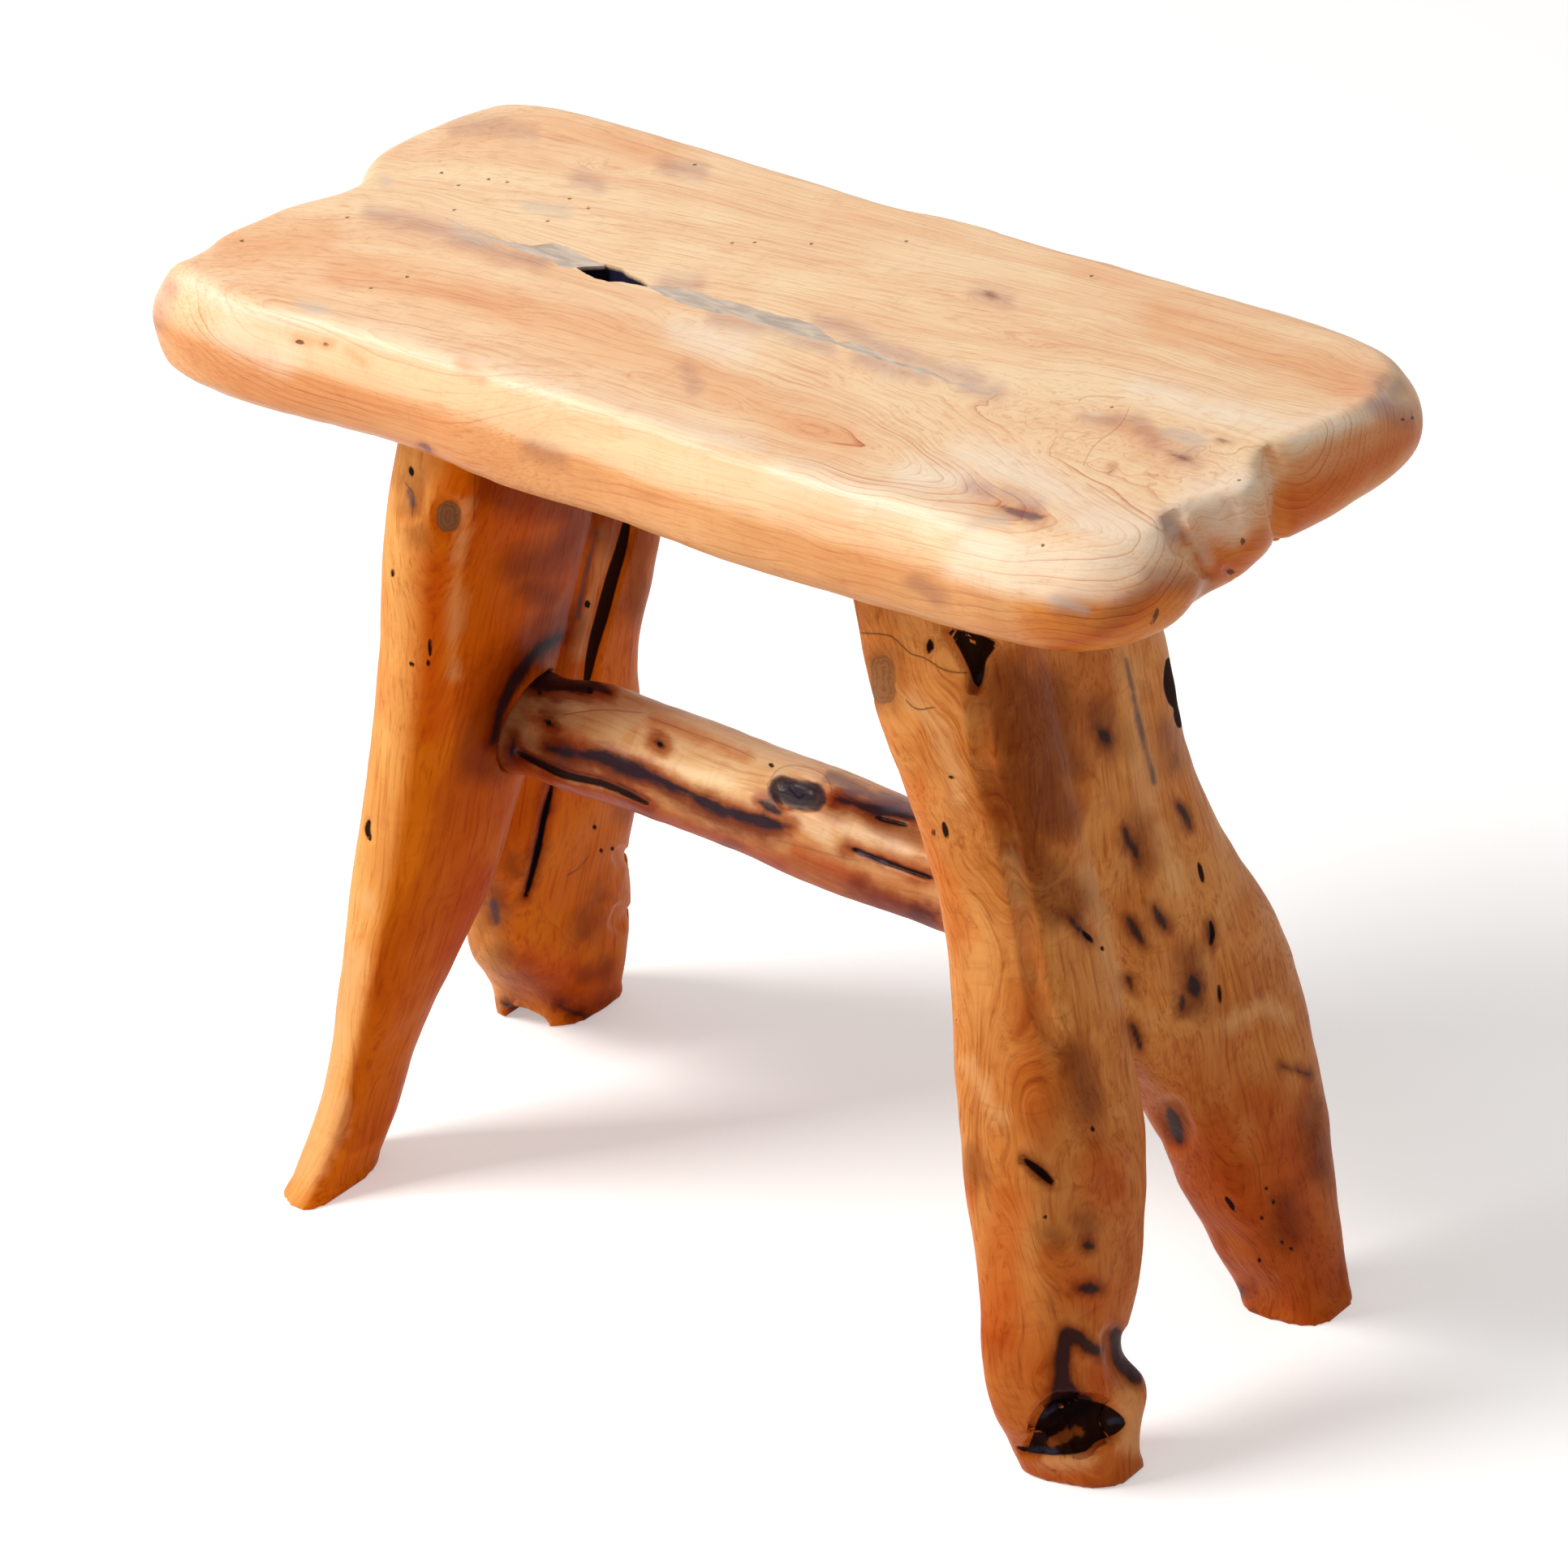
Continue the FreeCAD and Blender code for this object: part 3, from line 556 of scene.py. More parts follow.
# %% [markdown]
# ## How the rings run through the slab
# Wood figure is geometry: wherever the cut meets the growth rings there is a line. Straight or
# round rings from a texture node would be the quick way, but on this slab the lines flow: they run
# a little across the seat behind the crack, and in front of it they fold into long pointed figures
# and sweep round the knot. So a few lines are read off the picture, each with its distance from
# the heart in millimetres, and a thin plate is bent through them. The plate gives that distance
# for every point between, and the material draws one fine line for each year.

# %% Lines read off the picture
GROWTH_LINES = (
    (104, (560, 150), (640, 135), (760, 158), (900, 205), (1050, 245), (1250, 298), (1450, 352)),
    (92, (520, 178), (600, 172), (680, 178), (780, 198), (900, 228), (1000, 255), (1150, 290),
     (1300, 325), (1450, 362), (1600, 405), (1690, 440)),
    (75, (500, 205), (570, 205), (650, 212), (750, 225), (850, 245), (950, 268), (1100, 302),
     (1250, 335), (1400, 370), (1520, 402), (1640, 432), (1715, 462)),
    (55, (480, 225), (560, 235), (640, 246), (740, 258), (850, 278), (950, 297), (1050, 318),
     (1200, 348), (1320, 374), (1400, 396), (1500, 426), (1600, 452), (1690, 474)),
    (40, (560, 258), (620, 270), (700, 284), (800, 300), (900, 318), (1000, 336), (1100, 353),
     (1200, 370), (1290, 385), (1350, 397), (1440, 427), (1500, 450), (1550, 467), (1640, 487)),
    (24, (745, 322), (850, 341), (930, 352), (1000, 366), (1100, 382), (1180, 395), (1260, 408),
     (1345, 423), (1420, 440), (1500, 466), (1600, 494), (1670, 504)),
    (15, (845, 354), (920, 367), (1000, 384), (1100, 400), (1200, 416), (1300, 433), (1400, 450),
     (1500, 476), (1600, 504)),
    (8, (920, 376), (1000, 395), (1100, 414), (1200, 431), (1300, 446), (1400, 462), (1500, 488),
     (1590, 512)),
    (-4, (1090, 437), (1200, 460), (1300, 472), (1400, 487), (1500, 511), (1580, 530)),
    (10, (270, 268), (350, 268), (440, 266), (520, 272), (600, 284)),
    (0, (240, 295), (320, 290), (420, 290), (520, 298), (600, 310), (650, 322)),
    (-12, (235, 320), (320, 310), (420, 315), (520, 327), (620, 345), (700, 360), (760, 378),
     (815, 402)),
    (-24, (235, 342), (330, 336), (430, 346), (540, 362), (640, 380), (740, 402), (830, 430),
     (900, 458), (960, 478), (1040, 503), (1090, 530), (1140, 562), (1172, 588), (1120, 595),
     (1000, 566), (900, 540), (800, 512), (700, 486)),
    (-36, (300, 360), (400, 373), (500, 391), (600, 408), (700, 425), (800, 447), (900, 475),
     (980, 505), (1050, 530), (1085, 548), (1108, 566), (1060, 560), (1000, 546), (900, 520),
     (800, 494), (700, 470)),
    (-42, (600, 426), (700, 446), (800, 468), (900, 495), (1000, 528)),
    (-16, (930, 440), (1000, 466), (1050, 490), (1100, 522), (1150, 555), (1200, 590), (1238, 620),
     (1180, 622), (1100, 606), (1000, 580), (900, 556)),
    (-10, (1012, 452), (1060, 482), (1110, 512), (1160, 545), (1210, 578), (1260, 606),
     (1298, 634), (1306, 648), (1270, 656), (1200, 644), (1100, 620), (1000, 594)),
    (-5, (1060, 462), (1120, 492), (1160, 520), (1220, 562), (1270, 597), (1310, 625), (1348, 652),
     (1330, 662), (1280, 664), (1200, 655), (1100, 632), (1000, 607)),
    (1, (1130, 480), (1190, 500), (1225, 530), (1262, 562), (1300, 592), (1350, 628), (1400, 662),
     (1408, 682), (1350, 690), (1280, 680), (1200, 668), (1100, 645), (1000, 620)),
    (8, (1270, 505), (1292, 545), (1330, 582), (1390, 625), (1430, 652), (1420, 700), (1300, 700),
     (1200, 684), (1100, 660), (980, 632)),
    (4, (1300, 500), (1400, 510), (1480, 530), (1540, 548)),
    (12, (1340, 540), (1400, 560), (1460, 590), (1520, 590)),
)
pixels_read = sum(len(line) - 1 for line in GROWTH_LINES)
print(len(GROWTH_LINES), "growth lines, read at", pixels_read, "pixels")

# %% A thin plate through the lines
PLATE_UNIT_MM = 100
PLATE_SLACK = 2e-4   # lets the plate pass a hair beside a line that was read a little off


def thin_plate(lines, places):
    """A number for each place on the seat, bent smoothly through the lines' numbers."""
    known = np.array([on_seat(*pixel) for _, *pixels in lines for pixel in pixels]) / PLATE_UNIT_MM
    wanted = np.array([number for number, *pixels in lines for _ in pixels], float)

    def bending(here, there):
        square = ((here[:, None] - there[None]) ** 2).sum(2) + 1e-12
        return square * np.log(square)

    flat = np.column_stack([np.ones(len(known)), known])
    stiff = bending(known, known) + PLATE_SLACK * np.eye(len(known))
    system = np.block([[stiff, flat], [flat.T, np.zeros((3, 3))]])
    weights = np.linalg.solve(system, np.append(wanted, np.zeros(3)))
    field = []
    for part in np.array_split(places / PLATE_UNIT_MM, 24):
        bent = bending(part, known) @ weights[:-3]
        field.append(bent + weights[-3] + part @ weights[-2:])
    return np.concatenate(field)


def bump_rings(places, ring, bumps):
    """Adds to the ring distance near each (x, y, reach along, reach across, turn, height)."""
    for x, y, reach, side, turn, height in bumps:
        dx, dy = places[:, 0] - x, places[:, 1] - y
        c, s = math.cos(math.radians(turn)), math.sin(math.radians(turn))
        along, across = (dx * c + dy * s) / reach, (dy * c - dx * s) / side
        ring = ring + height * np.exp(-(along ** 2) - across ** 2)
    return ring


middle = thin_plate(GROWTH_LINES, np.zeros((24, 2)))[0]
print(f"the middle of the slab is {middle:.0f} mm from the heart")

# %% Rings of the slab
SLOPE_OF_RINGS = 0.8   # how much the ring distance grows for each millimetre down into the slab
# Eyes and pointed figures that the lines are too few to show: x, y, reach along, reach across,
# turn in degrees, height
SEAT_FIGURES = (
    (75.0, 24.0, 42.0, 5.0, 5.0, 9.0), (-22.0, -33.0, 11.0, 5.0, -6.0, 9.0),
    (62.0, -103.0, 2.5, 2.0, 0.0, -4.0), (62.0, 54.0, 7.0, 4.0, 0.0, -9.0),
    (-150.0, 70.0, 18.0, 8.0, 20.0, 10.0),
)
# Strokes over the wood round the burl, whose rings are wrinkled
WRINKLES = [
    (60, (1310, 520), (1400, 545), (1500, 570)), (30, (1240, 490), (1330, 500)),
    (30, (1470, 640), (1540, 620)),
]
places, normals = points_of(seat)
ring = thin_plate(GROWTH_LINES, places[:, :2]) + SLOPE_OF_RINGS * (SEAT_TOP - places[:, 2])
ring = bump_rings(places, ring, SEAT_FIGURES)
stretched = places * np.array([0.32, 1.0, 1.0])
ring += 1.6 * swells(stretched, 16, 21) + 0.5 * swells(stretched, 5, 22)
gap, _, _ = stroke_distance(seat, WRINKLES)
wrinkled = np.clip(1 - gap / 8, 0, 1)
ring += wrinkled * (5.0 * swells(places, 11, 23) + 2.5 * swells(places, 5, 24))
along = places[:, 0] + 3 * swells(stretched, 20, 25)
keep_grain(seat, along, ring, places[:, 2] + 0.4 * places[:, 1])
print("rings of the slab reach from", round(ring.min()), "to", round(ring.max()), "mm")

# %% [markdown]
# ## Marks of the slab
# Pin holes of beetles, the knot near the front right, bark scars and soft grey stains are the
# slab's own history. They are read off the picture too. A pin hole is smaller than a face of the
# skin, so the skin's nearest vertex is moved onto it first, which keeps the hole round.

# %% Pin holes
SEAT_PIN_HOLES = (
    (298, 297), (428, 268), (502, 341), (457, 355), (544, 213), (565, 228), (602, 221), (625, 224),
    (560, 259), (702, 245), (725, 256), (675, 272), (902, 300), (930, 299), (1117, 297),
    (1000, 300), (1345, 340), (1285, 672), (1370, 502), (856, 203), (1728, 517), (1740, 515),
    (1527, 591),
)


def pin(piece, pixels):
    """Moves the nearest vertex onto each pin hole's place, so that the hole's mark is round."""
    tree = BVHTree.FromObject(piece, bpy.context.evaluated_depsgraph_get())
    places, _ = points_of(piece)
    for px, py in pixels:
        hit, _, _, _ = tree.ray_cast(Vector(EYE * MM), Vector(line_of_sight(px, py)))
        if hit is not None:
            hit = np.array(hit) / MM
            places[np.argmin(((places - hit) ** 2).sum(1))] = hit
    move_points(piece, places)


pin(seat, SEAT_PIN_HOLES)
stay_inside(seat, "seat_slab")
print("pin holes:", len(SEAT_PIN_HOLES))

# %% Knots, scars and stains of the slab
SEAT_MARKS = {
    "check": [(4, p) for p in SEAT_PIN_HOLES] + [
        (3, (1419, 768), (1424, 758), (1427, 750)), (5, (1532, 664), (1532, 670)),
        (5, (1513, 704), (1519, 705)), (4, (366, 421), (374, 422)), (3, (400, 424), (403, 425)),
    ],
    "vein": [
        (3, (1340, 596), (1360, 608), (1400, 634), (1432, 654)),
        (2, (1392, 503), (1380, 525), (1350, 548), (1336, 572)),
        (2, (1330, 494), (1342, 488), (1386, 490)),
        (2, (1490, 556), (1520, 560), (1530, 552), (1552, 550)),
    ],
    "burn": [
        (8, (1232, 624), (1250, 631), (1270, 637), (1288, 637)), (4, (1366, 584), (1372, 576)),
        (4, (1216, 362), (1226, 366)), (5, (517, 548), (524, 550), (530, 556)),
        (4, (1500, 540), (1520, 546)), (3, (1458, 662), (1470, 680), (1482, 698)),
        (5, (1440, 560), (1466, 566)),
    ],
    "haze": [
        (10, (455, 262), (520, 282)), (15, (500, 274), (560, 290), (620, 312), (664, 324)),
        (11, (1008, 398), (1050, 410), (1100, 434), (1150, 452), (1205, 470)),
        (8, (955, 408), (1000, 423), (1020, 428)), (9, (1060, 440), (1100, 455), (1140, 466)),
        (10, (1190, 476), (1226, 484)), (10, (820, 350), (860, 352)), (8, (880, 392), (940, 404)),
        (10, (560, 158), (610, 155), (655, 166)), (8, (820, 203), (865, 212)),
        (7, (714, 218), (738, 228)), (8, (845, 450), (856, 474)), (14, (1196, 600), (1216, 606)),
        (11, (1240, 604), (1276, 624)), (9, (1338, 514), (1380, 518)),
        (16, (1402, 520), (1424, 544)), (9, (1430, 552), (1472, 566)),
        (9, (1205, 362), (1240, 369)), (14, (655, 552), (690, 566)),
        (14, (1128, 716), (1156, 736)), (16, (1310, 748), (1334, 754)),
        (20, (1700, 498), (1735, 512)), (10, (1436, 640), (1450, 662)),
        (22, (1420, 712), (1490, 722)), (20, (1360, 770), (1420, 720)),
        (10, (1696, 470), (1720, 480)), (16, (200, 446), (192, 400), (206, 356)),
    ],
    # Blue: grey stains; the stroke at the front right corner, from (1300, 742), is a painted sheen
    "blue": [
        (6, (372, 376), (398, 381)), (8, (650, 252), (694, 260)), (9, (436, 212), (475, 224)),
        (12, (1196, 648), (1236, 640)), (15, (1440, 534), (1480, 541)),
        (6, (560, 283), (600, 298)), (10, (1300, 742), (1336, 752)), (8, (1716, 470), (1722, 482)),
        (8, (1472, 664), (1486, 692)), (7, (1438, 642), (1444, 656)),
    ],
    # Pale: lighter wood, with painted highlights on the front arris, the burl's edges and the front
    # right corner
    "pale": [
        (30, (286, 406), (352, 434)), (7, (232, 344), (300, 384), (420, 402), (560, 446)),
        (6, (560, 446), (700, 486), (830, 525), (930, 552)),
        (26, (960, 584), (1100, 618), (1180, 640)), (36, (1120, 592), (1180, 588)),
        (40, (1200, 672), (1300, 694), (1380, 690)), (50, (1350, 640), (1412, 664)),
        (28, (1190, 560), (1260, 582), (1330, 620)), (20, (840, 408), (910, 430)),
        (20, (1470, 612), (1530, 590)), (16, (1400, 478), (1560, 520), (1650, 520)),
        (26, (1450, 632), (1510, 622)), (30, (1500, 640), (1532, 600)),
        (20, (1520, 650), (1540, 600)), (12, (1180, 700), (1290, 726), (1370, 724)),
        (10, (1600, 541), (1680, 512), (1706, 490)),
    ],
    "peach": [
        (36, (420, 330), (560, 362), (700, 400), (840, 450), (960, 512), (1040, 540)),
        (30, (280, 300), (400, 300)), (36, (1430, 395), (1560, 435), (1690, 480)),
        (18, (560, 165), (700, 160), (820, 190)), (22, (1380, 520), (1430, 548)),
        (16, (1480, 650), (1500, 680)),
    ],
    "ember": [
        (8, (364, 420), (378, 423)), (6, (398, 424), (405, 425)), (5, (430, 434), (448, 445)),
        (8, (568, 452), (596, 466)), (16, (1500, 704), (1530, 690), (1552, 664)),
        (12, (1300, 800), (1380, 772), (1430, 730)),
        (0, (1586, 570), (1640, 548), (1700, 520), (1744, 522), (1745, 560), (1700, 604),
         (1640, 644), (1590, 650)),
    ],
    # Facet: painted light, a tone of its own on the front bevel below the arris
    "facet": [
        (0, (248, 376), (300, 394), (400, 414), (530, 448), (680, 500), (820, 542), (940, 578),
         (1060, 622), (1000, 634), (900, 612), (815, 604), (740, 570), (680, 556), (630, 536),
         (530, 494), (450, 480), (380, 452), (300, 430), (262, 406)),
    ],
    # Rim: painted highlights along the burl's lit ridges and beside its fold
    "rim": [
        (5, (1430, 627), (1480, 617), (1530, 601), (1552, 570)),
        (5, (1556, 562), (1563, 600), (1563, 630)),
        (4, (1592, 542), (1640, 529), (1690, 502), (1706, 482)),
    ],
    "bold": [
        (0, (1600, 548), (1700, 504), (1745, 520), (1745, 570), (1690, 620), (1620, 660),
         (1586, 650)),
        (60, (1310, 780), (1380, 750), (1440, 710)),
        (30, (236, 400), (262, 446), (330, 484), (440, 514)),
        (0, (1120, 476), (1190, 480), (1260, 520), (1330, 570), (1420, 630), (1440, 680),
         (1380, 716), (1250, 700), (1130, 670), (1000, 620), (960, 580), (1060, 530)),
    ],
}
keep_marks(seat, SEAT_MARKS)

# %% Amber sides, partly painted shade, and the pocket's painted shade
# The sides are painted darker orange, most on the edge's lower half and on the right end:
# partly the live edge's own colour, partly painted shade on faces turned from the lamp
LOWER_STARTS, END_STARTS = 438, 200
places, normals = points_of(seat)
side = np.clip(1 - normals[:, 2], 0, 1)
lower = np.clip((LOWER_STARTS - places[:, 2]) / 12, 0, 1) * side
end = np.clip((places[:, 0] - END_STARTS) / 24, 0, 1) * np.clip(side * 1.3 - 0.1, 0, 1)
keep_number(seat, "amber", np.clip(0.2 * side + 0.45 * lower + 0.42 * end, 0, 0.95))
# Painted shade: the walls of the open crack, below the top, take the near-black violet crack colour
in_crack = (places[:, 0] > crack_start[0]) & (places[:, 0] < crack_end[0])
in_crack &= np.abs(places[:, 1] + 10) < 12
in_crack &= (places[:, 2] < SEAT_TOP - 0.3) & (places[:, 2] > POCKET_FLOOR - 1)
keep_number(seat, "hollow", in_crack.astype(float))
print("points of dark old wood in the crack:", in_crack.sum())

# %% [markdown]
# ## The forked legs
# Each leg is one piece of log that forks into two feet. The left one has a flat sawn face towards
# the pole and a black bark seam. The right one is all swirls, checks and little hollows: a gap
# under the seat, a crease down its front, and a knot hollow with a torn brown core in its front
# foot. A texture could fake the hollows, but their edges catch the light, so they are carved. Both
# legs are sanded in the same way first, except at the soles and at the top, where they meet the
# floor and the seat.

# %% Sand the legs in waves
LEG_VOXEL_MM = 1.65
LEG_TOP = 399   # just under the seat


def sanded_leg(name, node_name, waves_of, sunk_mm):
    """A leg's skin with long and short waves, which fade out at the soles and under the seat."""
    leg = working_skin(name, node_name, LEG_VOXEL_MM, relax_rounds=3)
    places, normals = points_of(leg)
    waves = sum(height * swells(places, length, seed) for height, length, seed in waves_of)
    ends = np.clip(places[:, 2] / 6, 0, 1) * np.clip((LEG_TOP - places[:, 2]) / 6, 0, 1)
    move_points(leg, places + normals * ((waves - sunk_mm) * ends)[:, None])
    return leg


left = sanded_leg("left_leg_wood", "left_leg", ((1.0, 44, 31), (0.4, 16, 32)), 0.6)
right_leg = sanded_leg("right_leg_wood", "right_leg", ((1.2, 40, 41), (0.5, 14, 42)), 0.8)

# %% Carve the left leg
# The black seam between the two stems, and the narrow one further down the rear stem
LEFT_SEAM = [(15, (773, 640), (765, 676), (753, 716), (742, 756), (731, 796), (723, 836))]
LOWER_SEAM = [(6, (682, 962), (672, 1000), (664, 1040), (657, 1070), (648, 1104))]
carve(left, (
    (LEFT_SEAM, 2.6, 2.2),
    (LOWER_SEAM, 1.4, 1.8, 0.0, 0.6),
    # Two sunken knots near the seat, a nick half way down, and bites out of the rear stem's edge
    ([(26, (552, 626), (552, 644))], 1.3, 2.4, 1.6),
    ([(26, (508, 596), (508, 626))], 0.8, 3.0, 0.4),
    ([(6, (454, 1014), (455, 1032))], 1.6, 1.6),
    ([(14, (778, 1040), (768, 1056)), (12, (768, 1124), (762, 1138)), (12, (792, 836), (794, 840))],
     2.2, 3.0),
))
stay_inside(left, "left_leg")

# %% Carve the right leg
# The black gap under the seat, the crease down the front, and the hollow with its torn core
SEAT_GAP = [
    (0, (1166, 774), (1182, 798), (1194, 822), (1204, 847), (1211, 834), (1214, 814), (1224, 790)),
]
CREASE = [
    (6, (1201, 844), (1206, 893), (1210, 928), (1219, 969), (1234, 1005), (1244, 1046),
     (1252, 1087), (1260, 1117), (1267, 1158), (1272, 1199), (1285, 1250), (1305, 1290)),
]
FOOT_HOLLOW = [
    (0, (1266, 1788), (1274, 1768), (1280, 1748), (1296, 1728), (1324, 1724), (1350, 1728),
     (1370, 1736), (1386, 1752), (1374, 1766), (1350, 1776), (1336, 1788), (1300, 1792)),
]
FOOT_CORE = [(15, (1298, 1776), (1314, 1768)), (12, (1324, 1758), (1332, 1766))]
carve(right_leg, (
    (SEAT_GAP, 9.0, 3.0),
    (CREASE, 2.8, 4.5),
    (FOOT_HOLLOW, 5.5, 3.6, 0.6),
    (FOOT_CORE, -3.0, 2.6, 1.4),
    # A gash in the front stem, the foot's waist, the knot near the seat and a hole beside it
    ([(9, (1262, 1430), (1297, 1458))], 3.0, 1.6, 0.0, 0.4),
    ([(20, (1376, 1650), (1384, 1690))], 2.5, 5.0),
    ([(24, (1088, 818), (1090, 856))], 0.8, 2.0, 1.4),
    ([(7, (1146, 790), (1146, 803))], 2.5, 1.6, 0.0, 0.5),
    # The hollow in the fork, and the swelling opposite it
    ([(22, (1442, 1372), (1452, 1398))], 2.5, 5.0),
    ([(40, (1362, 1436), (1362, 1458))], -1.2, 6.0),
))
stay_inside(right_leg, "right_leg")

# %% Marks of the left leg
LEFT_MARKS = {
    "check": LEFT_SEAM + LOWER_SEAM + [
        (7, (723, 742), (724, 747)), (4, (530, 788), (530, 807)), (4, (528, 814), (528, 820)),
        (4, (506, 817), (509, 820)), (6, (455, 1012), (453, 1022), (456, 1034)),
        (3, (484, 702), (484, 710)), (4, (732, 1017), (733, 1021)), (4, (740, 1046), (741, 1050)),
        (4, (754, 1044), (755, 1047)), (5, (506, 576), (508, 586)),
    ],
    "vein": [
        (2, (700, 1078), (712, 1070), (724, 1056)), (2, (586, 576), (584, 640)),
        (2, (500, 596), (510, 610), (508, 636)),
    ],
    "knot": [(28, (552, 632), (552, 640))],
    # Burn: dark bark; the wide stroke from (692, 784) round the pole's end is a painted shadow
    "burn": [
        (9, (682, 962), (672, 1000), (664, 1040), (648, 1104)),
        (16, (692, 784), (660, 804), (636, 836), (618, 872), (608, 916)),
        (6, (690, 1240), (720, 1252), (740, 1250)), (6, (618, 1236), (632, 1242)),
        (8, (552, 632), (554, 642)),
    ],
    # Haze: grey stains; the widest strokes, under the seat and round the pole's end, are painted
    # shade
    "haze": [
        (34, (640, 700), (690, 680), (720, 640)), (26, (650, 724), (680, 740)),
        (44, (596, 940), (606, 870), (640, 810), (690, 770)),
        (70, (620, 590), (700, 610), (740, 640)), (12, (630, 1068), (642, 1076)),
        (18, (608, 1108), (610, 1134)), (12, (720, 1204), (744, 1196)),
        (24, (640, 1200), (700, 1236), (760, 1236)), (16, (616, 1180), (640, 1222)),
        (14, (780, 930), (774, 1000)), (26, (790, 650), (782, 750)),
        (16, (740, 1110), (720, 1150)), (12, (516, 654), (516, 664)), (20, (505, 596), (510, 626)),
    ],
    "blue": [
        (7, (504, 604), (509, 622)), (8, (608, 1112), (612, 1136)),
        (6, (735, 656), (724, 700), (712, 760)),
    ],
    # Pale: lighter wood; the thin stroke down the arris, from (574, 620), is a painted highlight
    "pale": [
        (12, (438, 1104), (452, 1112)), (20, (440, 1180), (412, 1290), (386, 1380), (372, 1440)),
        (8, (744, 660), (730, 730), (712, 800)), (34, (410, 1360), (380, 1440)),
        (6, (574, 620), (563, 720), (558, 830)),
    ],
    "ember": [
        (12, (536, 700), (530, 900)), (20, (590, 1080), (560, 1180), (520, 1290)),
        (44, (650, 1200), (740, 1220)),
    ],
    # Facet: painted shade over the inner face, which turns from the lamp
    "facet": [
        (0, (592, 580), (578, 648), (564, 708), (562, 764), (558, 860), (554, 924), (534, 972),
         (530, 1012), (518, 1056), (494, 1108), (466, 1180), (440, 1262), (420, 1340), (404, 1400),
         (440, 1420), (500, 1370), (540, 1250), (620, 1120), (680, 1000), (720, 820), (760, 640),
         (700, 600)),
    ],
    "core": [(20, (552, 630), (552, 642))],
}
keep_marks(left, LEFT_MARKS)

